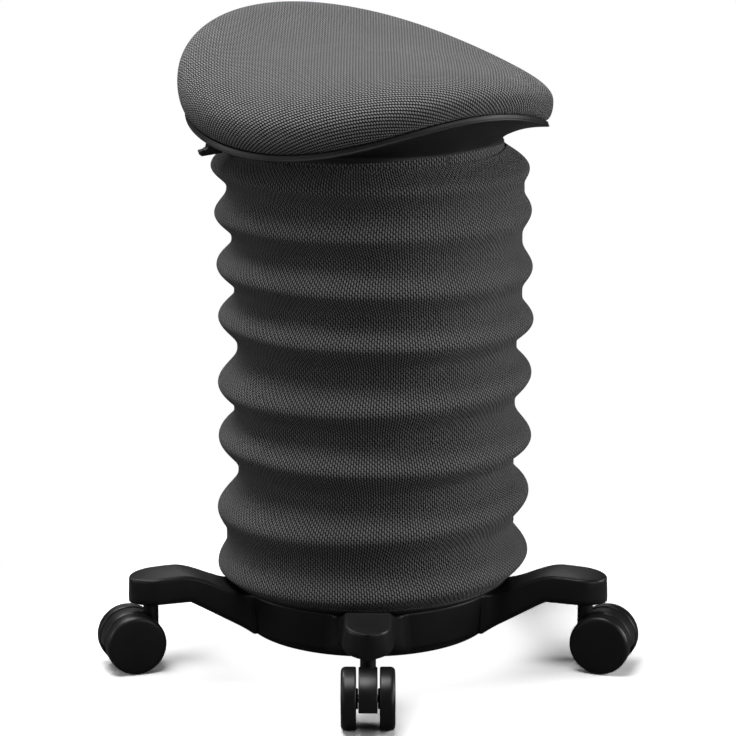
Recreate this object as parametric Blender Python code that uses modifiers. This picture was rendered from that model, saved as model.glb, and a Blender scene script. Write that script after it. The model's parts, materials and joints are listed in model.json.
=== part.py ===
"""Balance stool: a five-arm base on twin-wheel casters carries a gas column inside a ribbed fabric bellows.

The column lifts a saddle seat, which turns on a bearing and leans on a rubber mount. Metres, +Z up.
The column's axis is Z, the floor is z = 0, and the front arm points along -Y.
"""
import math

import bmesh
import bpy
from mathutils import Vector

MM = 0.001

# Fits
FIT = 0.3 * MM
PLAY = 1.0 * MM

# Casters
ARM_COUNT = 5
FRONT_ARM_ANGLE = math.radians(-90)
CASTER_CIRCLE_RADIUS = 240 * MM
CASTER_TRAIL = 21 * MM
CASTER_TURNS = (0, 0, math.radians(126), math.radians(-126), 0)
WHEEL_RADIUS = 31.75 * MM
WHEEL_WIDTH = 15.3 * MM
WHEEL_EDGE = 4 * MM
WHEEL_HUB_RADIUS = 10 * MM
WHEEL_FACE_WALL = 3.5 * MM
WHEEL_SIDES = 20
WHEEL_GAP = 2.3 * MM
HOOD_WIDTH = 19 * MM
HOOD_FOOT_DROP = 4.5 * MM
HOOD_BOSS_RADIUS = 9 * MM
AXLE_RADIUS = 4 * MM
NECK_WALL = 2.2 * MM
NECK_SHOW = 8.75 * MM
STEM_RADIUS = 5.5 * MM
STEM_DEPTH_IN_ARM = 18 * MM
STEM_DEPTH_IN_HOOD = 24 * MM

# Base
ARM_HALF_WIDTH = 24 * MM
ARM_ROOT_FLARE = 6 * MM
ARM_ROOT_FILLET = 18 * MM
ARM_DRAFT = 2 * MM
ARM_TIP_THICKNESS = 27 * MM
ARM_TIP_START = 6 * MM
ARM_TIP_REACH = 22.5 * MM
ARM_CREST_RISE = 3 * MM
ARM_CREST_INSET = 28 * MM
ARM_FLAT_LENGTH = 38 * MM
ARM_TOP_ROUND = 4 * MM
ARM_KEEL_ROUND = 7 * MM
HUB_RADIUS = 145 * MM
HUB_DECK_RISE = 8 * MM
HUB_WALL_HEIGHT = 41 * MM
HUB_WALL = 23 * MM
HUB_DECK = 9 * MM
HUB_BOSS_RADIUS = 60 * MM
HUB_SOCKET_WALL = 17 * MM
HUB_SOCKET_RISE = 33 * MM
PAN_STEP = 11.5 * MM
PAN_DROP = 10 * MM
PAN_RIM_WIDTH = 8 * MM

# Gas column
TUBE_RADIUS = 25 * MM
TUBE_WALL = 2.5 * MM
TUBE_FLOOR = 3.5 * MM
CYLINDER_RADIUS = 14 * MM
CYLINDER_LENGTH = 336 * MM
CYLINDER_FLANGE = 3.7 * MM
LIFT_STROKE = 100 * MM
LIFT_CLEARANCE = 12 * MM
BUSH_LENGTH = 78 * MM
BUSH_LIP = 3.7 * MM
ROD_RADIUS = 5 * MM
ROD_SHOULDER = 6 * MM
ROD_ENGAGEMENT = 25 * MM
WASHER_HEIGHT = 3.2 * MM
CLIP_HEIGHT = 2.3 * MM
PIN_RADIUS = 4 * MM
PIN_DEPTH = 40 * MM

# Bellows
RIDGE_COUNT = 8
RIDGE_RADIUS = 166 * MM
VALLEY_RADIUS_LOW = 147 * MM
VALLEY_RADIUS_HIGH = 156 * MM
FIRST_RIDGE_RISE = 15 * MM
FIRST_PITCH = 68.7 * MM
LAST_PITCH = 52.6 * MM
MOUTH_FOLD = 24.2 * MM
HEM_OVERHANG = 5 * MM
CLOTH = 3 * MM
BELLOWS_WALL = 7 * MM
BELLOWS_SIDES = 32
SPAN_STEPS = 3
HEM_RING_FLANGE = 2.4 * MM
HEM_RING_WALL = 6 * MM
HEM_RING_RISE = 12 * MM

# Seat carrier, swivel and rubber mount
COLLAR_RADIUS = 141.5 * MM
COLLAR_SHOW = 8.5 * MM
COLLAR_PLUNGE = 24.5 * MM
DISH_PLAY = 1.2 * MM
DISH_WALL = 2.8 * MM
DISH_DEPTH = 46 * MM
DISH_FLOOR = 4 * MM
DISH_RIM_DROP = 7.5 * MM
SLEEVE_WALL = 5.7 * MM
SLEEVE_LENGTH = 36 * MM
SLEEVE_RISE = 4.5 * MM
BEARING_RADIUS = 34 * MM
BEARING_HEIGHT = 3.4 * MM
SWIVEL_PLATE_RADIUS = 62 * MM
SWIVEL_PLATE = 6 * MM
SWIVEL_NECK_RISE = 8 * MM
SWIVEL_NECK_WALL = 4 * MM
CYLINDER_PROUD = 2 * MM
RUBBER_HEIGHT = 33.4 * MM
RUBBER_BORE = 24 * MM
RUBBER_WAIST = 4 * MM

# Seat
SEAT_FRONT_ANGLE = math.radians(-54.6)
FRAME_PLATE_RADIUS = 64 * MM
FRAME_PLATE = 4 * MM
RAIL_LENGTH = 200 * MM
RAIL_WIDTH = 10 * MM
RAIL_HEIGHT = 17.7 * MM
RAIL_SPACING = 52 * MM
BOARD_THICKNESS = 10 * MM
SHELL_WALL = 3 * MM
SHELL_RIM_EDGE = 3 * MM
SHELL_RIM_INSET = 4.5 * MM
SHELL_FLANGE_WIDTH = 17 * MM
SHELL_BOSS_RADIUS = 7 * MM
SEAT_RADIUS = 194.5 * MM
SEAT_REAR_OVERHANG = 4.5 * MM
RIM_WAVE = (37.7 * MM, -12.3 * MM, 21.8 * MM, 3.5 * MM, 2.0 * MM)
TOP_WAVE = (94.4 * MM, -24.4 * MM, 16.7 * MM, 2.2 * MM)
SEAT_CENTRE_RISE = 96 * MM
SEAT_ROLL = 56 * MM
SEAT_ROLL_POWER = 2.2
SEAT_WIDEST_SHARE = 0.42
SEAT_CREST_INSET = 24 * MM
SEAT_SIDES = 48
SCREW_RADIUS = 2.5 * MM
SCREW_HEAD_RADIUS = 5 * MM
SCREW_HEAD = 3 * MM
SCREW_BITE = 6 * MM
SCREW_INSET = 12 * MM

# Height lever
LEVER_ANGLE = math.radians(-163)
LEVER_PIVOT_RADIUS = 60 * MM
LEVER_TRAVEL = math.radians(4.5)
LEVER_THICKNESS = 5 * MM
LEVER_HALF_WIDTH = 6 * MM
LEVER_HEEL = 5 * MM
LEVER_LIFT_GAP = 3 * MM
LEVER_STEP_DROP = 10 * MM
LEVER_STEP_RUN = 15 * MM
LEVER_PADDLE_DROP = 19 * MM
LEVER_REACH = 180.5 * MM
LEVER_PADDLE_LENGTH = 25 * MM
LEVER_PIN_RADIUS = 3 * MM

ROUND_STEPS = 24
SMALL_STEPS = 12
HUB_STEPS = 40
MERGE = 0.00001

# Heights that follow from the sizes above
ARM_UNDERSIDE = 2 * WHEEL_RADIUS + NECK_SHOW
ARM_TIP_TOP = ARM_UNDERSIDE + ARM_TIP_THICKNESS
ARM_CREST_TOP = ARM_TIP_TOP + ARM_CREST_RISE
HUB_TOP = ARM_UNDERSIDE + HUB_DECK_RISE
HUB_WALL_FOOT = HUB_TOP - HUB_WALL_HEIGHT
PAN_FOOT = HUB_WALL_FOOT - PAN_DROP
HEM_HEIGHT = HUB_TOP + HEM_RING_FLANGE + 2 * FIT
HEM_RADIUS = HUB_RADIUS + HEM_OVERHANG
RIDGE_STEP = (FIRST_PITCH - LAST_PITCH) / (RIDGE_COUNT - 2)
BELLOWS_PITCHES = [FIRST_PITCH - RIDGE_STEP * i for i in range(RIDGE_COUNT - 1)]
BELLOWS_LENGTH = FIRST_RIDGE_RISE + sum(BELLOWS_PITCHES) + MOUTH_FOLD
MOUTH_HEIGHT = HEM_HEIGHT + BELLOWS_LENGTH
BOARD_RADIUS = COLLAR_RADIUS
DISH_RADIUS = COLLAR_RADIUS + DISH_PLAY + DISH_WALL
DISH_FOOT = MOUTH_HEIGHT - DISH_DEPTH
SLEEVE_TOP = DISH_FOOT + DISH_FLOOR + SLEEVE_RISE
SLEEVE_FOOT = SLEEVE_TOP - SLEEVE_LENGTH
BEARING_FOOT = SLEEVE_TOP + FIT
SWIVEL_FOOT = BEARING_FOOT + BEARING_HEIGHT + FIT
SWIVEL_TOP = SWIVEL_FOOT + SWIVEL_PLATE
CYLINDER_TOP = SWIVEL_TOP + SWIVEL_NECK_RISE + CYLINDER_PROUD
CYLINDER_FOOT = CYLINDER_TOP - CYLINDER_LENGTH
FLANGE_FOOT = SLEEVE_FOOT - FIT - CYLINDER_FLANGE
RUBBER_FOOT = SWIVEL_TOP + FIT
TILT_HEIGHT = RUBBER_FOOT + RUBBER_HEIGHT / 2
FRAME_FOOT = RUBBER_FOOT + RUBBER_HEIGHT + FIT
RAIL_FOOT = FRAME_FOOT + FRAME_PLATE
BOARD_FOOT = RAIL_FOOT + RAIL_HEIGHT + FIT
BOARD_TOP = BOARD_FOOT + BOARD_THICKNESS
COLLAR_TOP = MOUTH_HEIGHT + COLLAR_SHOW + SHELL_WALL - PLAY
FLANGE_UNDERSIDE = COLLAR_TOP - SHELL_WALL
LEVER_UNDERSIDE = RAIL_FOOT + LEVER_LIFT_GAP
LEVER_PIVOT_HEIGHT = LEVER_UNDERSIDE + LEVER_THICKNESS / 2
TUBE_TOP = FLANGE_FOOT - LIFT_STROKE - LIFT_CLEARANCE - BUSH_LIP
TUBE_FOOT = PAN_FOOT + BUSH_LIP + CLIP_HEIGHT + PLAY


def finish(name, colour, roughness, metallic=0.0):
    """A plain surface finish."""
    material = bpy.data.materials.new(name)
    material.use_nodes = True
    shader = material.node_tree.nodes["Principled BSDF"]
    shader.inputs["Base Color"].default_value = (*colour, 1.0)
    shader.inputs["Roughness"].default_value = roughness
    shader.inputs["Metallic"].default_value = metallic
    return material


def collection(name):
    made = bpy.data.collections.new(name)
    bpy.context.scene.collection.children.link(made)
    return made


for old in list(bpy.data.objects):
    bpy.data.objects.remove(old)
STOOL = collection("balance_stool")
CUTTERS = collection("cutters")

BLACK_NYLON = finish("black_nylon", (0.012, 0.012, 0.013), 0.42)
WHEEL_BLACK = finish("wheel_black", (0.014, 0.014, 0.015), 0.5)
SHELL_BLACK = finish("shell_black", (0.014, 0.014, 0.015), 0.45)
BELLOWS_KNIT = finish("bellows_knit", (0.045, 0.045, 0.047), 0.9)
SEAT_MESH = finish("seat_mesh", (0.085, 0.085, 0.087), 0.88)
STEEL = finish("steel", (0.55, 0.55, 0.56), 0.3, 1.0)
BLACK_STEEL = finish("black_steel", (0.03, 0.03, 0.032), 0.45, 0.6)
RUBBER = finish("rubber", (0.02, 0.02, 0.02), 0.8)
BUSH_WHITE = finish("bush_white", (0.75, 0.75, 0.72), 0.5)
PLYWOOD = finish("plywood", (0.55, 0.4, 0.24), 0.6)


def place(name, data, material, parent, location=(0, 0, 0), rotation=(0, 0, 0), helper=False):
    """A named piece under its parent frame, or a helper that only shapes another piece."""
    piece = bpy.data.objects.new(name, data)
    (CUTTERS if helper else STOOL).objects.link(piece)
    piece.parent = parent
    piece.location = location
    piece.rotation_euler = rotation
    if material:
        data.materials.append(material)
    if helper:
        piece.hide_render = True
        piece.display_type = "WIRE"
    return piece


def frame(name, parent=None, location=(0, 0, 0), turn=0.0):
    """An empty that carries the pieces of one moving body, on its joint's axis."""
    return place(name, None, None, parent, location, (0, 0, turn))


def turned(name, profile, steps, material, parent, phase=0.0, helper=False, **where):
    """A piece turned about Z from (radius, height) points that run down its outer side."""
    mesh = bpy.data.meshes.new(name)
    points = [(r * math.cos(phase), r * math.sin(phase), z) for r, z in profile]
    edges = [(i, i + 1) for i in range(len(points) - 1)]
    if profile[0][0] > 0:
        edges.append((len(points) - 1, 0))
    mesh.from_pydata(points, edges, [])
    piece = place(name, mesh, material, parent, helper=helper, **where)
    screw = piece.modifiers.new("turn", "SCREW")
    screw.axis = "Z"
    screw.angle = 2 * math.pi
    screw.steps = steps
    screw.render_steps = steps
    screw.use_merge_vertices = True
    screw.merge_threshold = MERGE
    screw.use_smooth_shade = True
    return piece


def tube(name, outer, inner, foot, top, steps, material, parent, **where):
    profile = [(outer, top), (outer, foot), (inner, foot), (inner, top)]
    return turned(name, profile, steps, material, parent, **where)


def rod(name, radius, foot, top, steps, material, parent, **where):
    profile = [(0, top), (radius, top), (radius, foot), (0, foot)]
    return turned(name, profile, steps, material, parent, **where)


def loft(name, rings, material, parent, ring_shaped=False, helper=False, **where):
    """A skin through rings of points, closed by end caps, or by joining the last ring to the first."""
    mesh = bpy.data.meshes.new(name)
    shape = bmesh.new()
    rows = [[shape.verts.new(point) for point in ring] for ring in rings]
    pairs = list(zip(rows, rows[1:]))
    if ring_shaped:
        pairs.append((rows[-1], rows[0]))
    for low, high in pairs:
        for i in range(len(low)):
            j = (i + 1) % len(low)
            shape.faces.new((low[i], low[j], high[j], high[i]))
    if not ring_shaped:
        shape.faces.new(rows[0])
        shape.faces.new(rows[-1])
    bmesh.ops.recalc_face_normals(shape, faces=shape.faces)
    shape.to_mesh(mesh)
    shape.free()
    mesh.shade_smooth()
    mesh.set_sharp_from_angle(angle=math.radians(40))
    return place(name, mesh, material, parent, helper=helper, **where)


def slab(name, outline, thickness, material, parent, helper=False, **where):
    """A flat outline in the XY plane, given a thickness about that plane."""
    curve = bpy.data.curves.new(name, "CURVE")
    curve.dimensions = "2D"
    curve.fill_mode = "BOTH"
    curve.extrude = thickness / 2
    spline = curve.splines.new("POLY")
    spline.points.add(len(outline) - 1)
    for point, (x, y) in zip(spline.points, outline):
        point.co = (x, y, 0, 1)
    spline.use_cyclic_u = True
    guide = bpy.data.objects.new(name + "_outline", curve)
    bpy.context.scene.collection.objects.link(guide)
    mesh = bpy.data.meshes.new_from_object(guide.evaluated_get(bpy.context.evaluated_depsgraph_get()))
    bpy.data.objects.remove(guide)
    shape = bmesh.new()
    shape.from_mesh(mesh)
    bmesh.ops.remove_doubles(shape, verts=shape.verts, dist=MERGE)
    bmesh.ops.recalc_face_normals(shape, faces=shape.faces)
    shape.to_mesh(mesh)
    shape.free()
    return place(name, mesh, material, parent, helper=helper, **where)


def block(name, low, high, material, parent, helper=False, **where):
    """A box between two corners."""
    mesh = bpy.data.meshes.new(name)
    shape = bmesh.new()
    bmesh.ops.create_cube(shape, size=1.0)
    size = Vector(high) - Vector(low)
    middle = (Vector(high) + Vector(low)) / 2
    bmesh.ops.scale(shape, vec=size, verts=shape.verts)
    bmesh.ops.translate(shape, vec=middle, verts=shape.verts)
    shape.to_mesh(mesh)
    shape.free()
    return place(name, mesh, material, parent, helper=helper, **where)


def combine(piece, tool, operation="DIFFERENCE"):
    boolean = piece.modifiers.new(tool.name, "BOOLEAN")
    boolean.operation = operation
    boolean.object = tool


def drill(piece, name, radius, foot, top, parent, **where):
    combine(piece, rod(name, radius, foot, top, SMALL_STEPS, None, parent, helper=True, **where))


def smooth_step(t):
    t = min(max(t, 0.0), 1.0)
    return t * t * (3 - 2 * t)


def wave(terms, angle):
    """The height of the seat's wavy edge above the bellows' mouth, at an angle from the seat's front."""
    return MOUTH_HEIGHT - TILT_HEIGHT + sum(term * math.cos(k * angle) for k, term in enumerate(terms))


# The base body: one moulding of hub, pan and five gull-winged arms
base = frame("base")
arm_tip_start = CASTER_CIRCLE_RADIUS - ARM_TIP_START
arm_tip_length = ARM_TIP_START + ARM_TIP_REACH
fillet_reach = HUB_RADIUS + ARM_ROOT_FILLET
fillet_start = math.sqrt(fillet_reach ** 2 - (ARM_HALF_WIDTH + ARM_ROOT_FLARE + ARM_ROOT_FILLET) ** 2)
fillet_end = fillet_start * HUB_RADIUS / fillet_reach


def arm_top(radius):
    """Height of an arm's upper face: it leaves the hub's deck and sweeps up to a crest near the caster."""
    crest = CASTER_CIRCLE_RADIUS - ARM_CREST_INSET
    if radius < crest:
        start = HUB_RADIUS - HEM_OVERHANG
        return HUB_TOP - PLAY + (ARM_CREST_TOP - HUB_TOP + PLAY) * smooth_step((radius - start) / (crest - start))
    tip = CASTER_CIRCLE_RADIUS + ARM_TIP_REACH
    return ARM_CREST_TOP - ARM_CREST_RISE * ((radius - crest) / (tip - crest)) ** 2


def arm_underside(radius):
    """Level over the caster, then a straight slope down past the foot of the hub's wall."""
    level_from = CASTER_CIRCLE_RADIUS - ARM_FLAT_LENGTH
    slope_to = HUB_RADIUS - PAN_STEP / 2
    fall = ARM_UNDERSIDE - HUB_WALL_FOOT + ARM_CREST_RISE
    return ARM_UNDERSIDE - fall * min(max((level_from - radius) / (level_from - slope_to), 0.0), 1.0)


def arm_half_width(radius):
    """Parallel sides, filleted into the hub's round wall and rounded off round the caster's stem."""
    past = (radius - arm_tip_start) / arm_tip_length
    if past > 0:
        return ARM_HALF_WIDTH * math.sqrt(max(1 - past ** 2, 0.0))
    root = (CASTER_CIRCLE_RADIUS - ARM_FLAT_LENGTH - radius) / (CASTER_CIRCLE_RADIUS - ARM_FLAT_LENGTH - HUB_RADIUS)
    half = ARM_HALF_WIDTH + ARM_ROOT_FLARE * smooth_step(root)
    into_fillet = min(max(fillet_start - radius, 0.0), fillet_start - fillet_end)
    return half + ARM_ROOT_FILLET - math.sqrt(ARM_ROOT_FILLET ** 2 - into_fillet ** 2)


def arm_section(radius):
    """One cross-section of an arm, with a crisp upper and a soft lower pair of corners."""
    half = arm_half_width(radius)
    top = arm_top(radius)
    foot = arm_underside(radius)
    keel = min(ARM_KEEL_ROUND, half * 0.9)
    edge = min(ARM_TOP_ROUND, half * 0.9)
    wide = half + ARM_DRAFT
    corners = (
        (wide - keel, foot + keel, keel, -90),
        (half - edge, top - edge, edge, 0),
        (edge - half, top - edge, edge, 90),
        (keel - wide, foot + keel, keel, 180),
    )
    section = []
    for across, height, rounding, start in corners:
        for turn in (0, 45, 90):
            angle = math.radians(start + turn)
            section.append((radius, across + rounding * math.cos(angle), height + rounding * math.sin(angle)))
    return section


arm_root = HUB_RADIUS - HUB_WALL * 0.7
arm_level_from = CASTER_CIRCLE_RADIUS - ARM_FLAT_LENGTH
arm_stations = [arm_root]
arm_stations += [fillet_end + (fillet_start - fillet_end) * i / 3 for i in range(4)]
arm_stations += [fillet_start + (arm_level_from - fillet_start) * i / 3 for i in (1, 2, 3)]
arm_stations += [arm_level_from + (arm_tip_start - arm_level_from) * i / 3 for i in (1, 2, 3)]
arm_stations += [arm_tip_start + arm_tip_length * math.sin(math.radians(a)) for a in (25, 48, 66, 80)]

hub_socket_radius = TUBE_RADIUS + FIT
hub_profile = [
    (hub_socket_radius + HUB_SOCKET_WALL, HUB_TOP + HUB_SOCKET_RISE),
    (hub_socket_radius + HUB_SOCKET_WALL, HUB_TOP),
    (HUB_RADIUS - ARM_TOP_ROUND, HUB_TOP),
    (HUB_RADIUS, HUB_TOP - ARM_TOP_ROUND),
    (HUB_RADIUS - ARM_DRAFT, HUB_WALL_FOOT + ARM_TOP_ROUND),
    (HUB_RADIUS - ARM_DRAFT - ARM_TOP_ROUND, HUB_WALL_FOOT),
    (HUB_RADIUS - PAN_STEP, HUB_WALL_FOOT),
    (HUB_RADIUS - PAN_STEP - ARM_DRAFT, PAN_FOOT),
    (HUB_RADIUS - PAN_STEP - ARM_DRAFT - PAN_RIM_WIDTH, PAN_FOOT),
    (HUB_RADIUS - HUB_WALL, HUB_TOP - HUB_DECK),
    (HUB_BOSS_RADIUS, HUB_TOP - HUB_DECK),
    (HUB_BOSS_RADIUS, TUBE_FOOT - PLAY),
    (hub_socket_radius, TUBE_FOOT - PLAY),
    (hub_socket_radius, HUB_TOP + HUB_SOCKET_RISE),
]
base_star = turned("base_star", hub_profile, HUB_STEPS, BLACK_NYLON, base)
arm_angles = [FRONT_ARM_ANGLE + 2 * math.pi * i / ARM_COUNT for i in range(ARM_COUNT)]
arm_rings = [arm_section(radius) for radius in arm_stations]
for number, angle in enumerate(arm_angles, 1):
    arm = loft(f"arm_{number}", arm_rings, None, base, helper=True, rotation=(0, 0, angle))
    combine(base_star, arm, "UNION")
for number, angle in enumerate(arm_angles, 1):
    at = (CASTER_CIRCLE_RADIUS * math.cos(angle), CASTER_CIRCLE_RADIUS * math.sin(angle), 0)
    socket_top = ARM_UNDERSIDE + STEM_DEPTH_IN_ARM + FIT
    drill(base_star, f"stem_socket_{number}", STEM_RADIUS + FIT, 0, socket_top, base, location=at)

# Casters: a steel stem held in each arm, a hood that turns on it, an axle and two wheels
axle_height = WHEEL_RADIUS
wheel_inner_face = HOOD_WIDTH / 2 + WHEEL_GAP
wheel_outer_face = wheel_inner_face + WHEEL_WIDTH
wheel_bore = AXLE_RADIUS + FIT
wheel_bore_end = wheel_outer_face - WHEEL_FACE_WALL
# The sides of the wheel's polygon touch the floor, so its corners stand a little outside the tread
tread = WHEEL_RADIUS / math.cos(math.pi / WHEEL_SIDES)
wheel_profile = [
    (0, wheel_outer_face),
    (tread - WHEEL_EDGE, wheel_outer_face),
    (tread, wheel_outer_face - WHEEL_EDGE),
    (tread, wheel_inner_face),
    (WHEEL_HUB_RADIUS, wheel_inner_face),
    (WHEEL_HUB_RADIUS, HOOD_WIDTH / 2 + FIT),
    (wheel_bore, HOOD_WIDTH / 2 + FIT),
    (wheel_bore, wheel_bore_end),
    (0, wheel_bore_end),
]
stem_foot = ARM_UNDERSIDE - NECK_SHOW - STEM_DEPTH_IN_HOOD
stem_top = ARM_UNDERSIDE + STEM_DEPTH_IN_ARM
hood_radius = WHEEL_RADIUS - FIT
hood_cut = math.asin(-HOOD_FOOT_DROP / hood_radius)
hood_outline = []
for i in range(21):
    sweep = hood_cut + (math.pi - 2 * hood_cut) * i / 20
    hood_outline.append((CASTER_TRAIL + hood_radius * math.cos(sweep), axle_height + hood_radius * math.sin(sweep)))

for number, angle in enumerate(arm_angles, 1):
    at = (CASTER_CIRCLE_RADIUS * math.cos(angle), CASTER_CIRCLE_RADIUS * math.sin(angle), 0)
    stem_profile = [
        (0, stem_top),
        (STEM_RADIUS - PLAY, stem_top),
        (STEM_RADIUS, stem_top - PLAY),
        (STEM_RADIUS, stem_foot),
        (0, stem_foot),
    ]
    turned(f"caster_stem_{number}", stem_profile, SMALL_STEPS, STEEL, base, location=at)
    caster = frame(f"caster_{number}", base, at, angle + CASTER_TURNS[number - 1])
    upright = (math.pi / 2, 0, 0)
    hood = slab(f"caster_hood_{number}", hood_outline, HOOD_WIDTH, WHEEL_BLACK, caster, rotation=upright)
    neck = rod(
        f"caster_neck_{number}", STEM_RADIUS + FIT + NECK_WALL, axle_height, ARM_UNDERSIDE - FIT,
        SMALL_STEPS, None, caster, helper=True,
    )
    combine(hood, neck, "UNION")
    axle_at = (CASTER_TRAIL, 0, axle_height)
    boss = rod(
        f"caster_boss_{number}", HOOD_BOSS_RADIUS, -HOOD_WIDTH / 2, HOOD_WIDTH / 2, SMALL_STEPS, None, caster,
        helper=True, location=axle_at, rotation=upright,
    )
    combine(hood, boss, "UNION")
    drill(hood, f"stem_bore_{number}", STEM_RADIUS + FIT, stem_foot - FIT, ARM_UNDERSIDE, caster)
    drill(hood, f"axle_bore_{number}", wheel_bore, -HOOD_WIDTH, HOOD_WIDTH, caster, location=axle_at, rotation=upright)
    axle_end = wheel_bore_end - FIT
    rod(
        f"caster_axle_{number}", AXLE_RADIUS, -axle_end, axle_end, SMALL_STEPS, STEEL, caster,
        location=axle_at, rotation=upright,
    )
    for side, turn in (("left", -1), ("right", 1)):
        turned(
            f"caster_wheel_{number}_{side}", wheel_profile, WHEEL_SIDES, WHEEL_BLACK, caster,
            phase=math.pi / WHEEL_SIDES, location=axle_at, rotation=(turn * math.pi / 2, 0, 0),
        )

# Gas column: stand tube in the hub, guide bush, and the piston rod on its thrust washer
tube_profile = [
    (TUBE_RADIUS, TUBE_TOP),
    (TUBE_RADIUS, TUBE_FOOT),
    (ROD_RADIUS + FIT, TUBE_FOOT),
    (ROD_RADIUS + FIT, TUBE_FOOT + TUBE_FLOOR),
    (TUBE_RADIUS - TUBE_WALL, TUBE_FOOT + TUBE_FLOOR),
    (TUBE_RADIUS - TUBE_WALL, TUBE_TOP),
]
turned("column_tube", tube_profile, ROUND_STEPS, BLACK_STEEL, base)
bush_radius = TUBE_RADIUS - TUBE_WALL - FIT
bush_profile = [
    (TUBE_RADIUS, TUBE_TOP + BUSH_LIP),
    (TUBE_RADIUS, TUBE_TOP + FIT),
    (bush_radius, TUBE_TOP + FIT),
    (bush_radius, TUBE_TOP - BUSH_LENGTH),
    (CYLINDER_RADIUS + FIT, TUBE_TOP - BUSH_LENGTH),
    (CYLINDER_RADIUS + FIT, TUBE_TOP + BUSH_LIP),
]
turned("column_bush", bush_profile, ROUND_STEPS, BUSH_WHITE, base)
washer_foot = TUBE_FOOT + TUBE_FLOOR + FIT
washer_radius = TUBE_RADIUS - TUBE_WALL - 2 * PLAY
tube("thrust_washer", washer_radius, ROD_RADIUS + FIT, washer_foot, washer_foot + WASHER_HEIGHT,
     SMALL_STEPS, STEEL, base)
shoulder_foot = washer_foot + WASHER_HEIGHT + FIT
rod_foot = TUBE_FOOT - FIT - CLIP_HEIGHT - FIT
rod_top = CYLINDER_FOOT + ROD_ENGAGEMENT
rod_profile = [
    (0, rod_top),
    (ROD_RADIUS, rod_top),
    (ROD_RADIUS, shoulder_foot + ROD_SHOULDER),
    (ROD_RADIUS + 3 * PLAY, shoulder_foot + ROD_SHOULDER),
    (ROD_RADIUS + 3 * PLAY, shoulder_foot),
    (ROD_RADIUS, shoulder_foot),
    (ROD_RADIUS, rod_foot),
    (0, rod_foot),
]
turned("piston_rod", rod_profile, SMALL_STEPS, STEEL, base)
tube("rod_clip", ROD_RADIUS + 4 * PLAY, ROD_RADIUS + FIT, TUBE_FOOT - FIT - CLIP_HEIGHT, TUBE_FOOT - FIT,
     SMALL_STEPS, BLACK_STEEL, base)

# Bellows: a ribbed knit sleeve, with a ring that clamps its hem to the hub
hem_bore = HEM_RADIUS - HEM_OVERHANG - HEM_RING_FLANGE - CLOTH
hem_ring_profile = [
    (hem_bore - FIT, HUB_TOP + FIT + HEM_RING_FLANGE + HEM_RING_RISE),
    (hem_bore - FIT, HUB_TOP + FIT + HEM_RING_FLANGE),
    (HEM_RADIUS - CLOTH, HUB_TOP + FIT + HEM_RING_FLANGE),
    (HEM_RADIUS - CLOTH, HUB_TOP + FIT),
    (hem_bore - FIT - HEM_RING_WALL, HUB_TOP + FIT),
    (hem_bore - FIT - HEM_RING_WALL, HUB_TOP + FIT + HEM_RING_FLANGE + HEM_RING_RISE),
]
turned("hem_ring", hem_ring_profile, BELLOWS_SIDES, BLACK_NYLON, base)

ridge_heights = [HEM_HEIGHT + FIRST_RIDGE_RISE + sum(BELLOWS_PITCHES[:i]) for i in range(RIDGE_COUNT)]
turns = [(HEM_RADIUS, HEM_HEIGHT)]
for i, height in enumerate(ridge_heights):
    if i:
        share = (i - 1) / (RIDGE_COUNT - 2)
        valley = VALLEY_RADIUS_LOW + (VALLEY_RADIUS_HIGH - VALLEY_RADIUS_LOW) * share ** 2
        turns.append((valley, (ridge_heights[i - 1] + height) / 2))
    turns.append((RIDGE_RADIUS, height))
turns.append((DISH_RADIUS + FIT + CLOTH, MOUTH_HEIGHT))
bellows_profile = [turns[-1]]
for (r_high, z_high), (r_low, z_low) in zip(turns[::-1], turns[-2::-1]):
    for step in range(1, SPAN_STEPS + 1):
        t = step / SPAN_STEPS
        ease = (1 - math.cos(math.pi * t)) / 2
        bellows_profile.append((r_high + (r_low - r_high) * ease, z_high + (z_low - z_high) * t))
bellows_bore = VALLEY_RADIUS_LOW - BELLOWS_WALL
bellows_profile += [
    (hem_bore, HEM_HEIGHT),
    (hem_bore, HEM_HEIGHT + HEM_RING_RISE),
    (bellows_bore, HEM_HEIGHT + HEM_RING_RISE + PLAY),
    (bellows_bore, DISH_FOOT - DISH_FLOOR),
    (DISH_RADIUS + FIT, DISH_FOOT - PLAY),
    (DISH_RADIUS + FIT, MOUTH_HEIGHT),
]
turned("bellows_cover", bellows_profile, BELLOWS_SIDES, BELLOWS_KNIT, base)

# Lift body: the gas cylinder, the dish that holds the bellows' mouth, and the swivel's thrust bearing
lift = frame("lift", base)
cylinder_bore_top = rod_top + LIFT_STROKE + LIFT_CLEARANCE
pin_foot = CYLINDER_TOP - PIN_DEPTH
pin_drop = (LEVER_PIVOT_RADIUS + LEVER_HEEL) * math.sin(LEVER_TRAVEL)
cylinder_profile = [
    (PIN_RADIUS + FIT, CYLINDER_TOP),
    (CYLINDER_RADIUS, CYLINDER_TOP),
    (CYLINDER_RADIUS, FLANGE_FOOT + CYLINDER_FLANGE),
    (CYLINDER_RADIUS + SLEEVE_WALL, FLANGE_FOOT + CYLINDER_FLANGE),
    (CYLINDER_RADIUS + SLEEVE_WALL, FLANGE_FOOT),
    (CYLINDER_RADIUS, FLANGE_FOOT),
    (CYLINDER_RADIUS, CYLINDER_FOOT),
    (ROD_RADIUS + FIT, CYLINDER_FOOT),
    (ROD_RADIUS + FIT, cylinder_bore_top),
    (0, cylinder_bore_top),
]
gas_cylinder = turned(
    "gas_cylinder", [(0, CYLINDER_TOP)] + cylinder_profile[1:], ROUND_STEPS, BLACK_STEEL, lift,
)
drill(gas_cylinder, "pin_bore", PIN_RADIUS + FIT, pin_foot - pin_drop - PLAY, CYLINDER_TOP + PLAY, lift)

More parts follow.
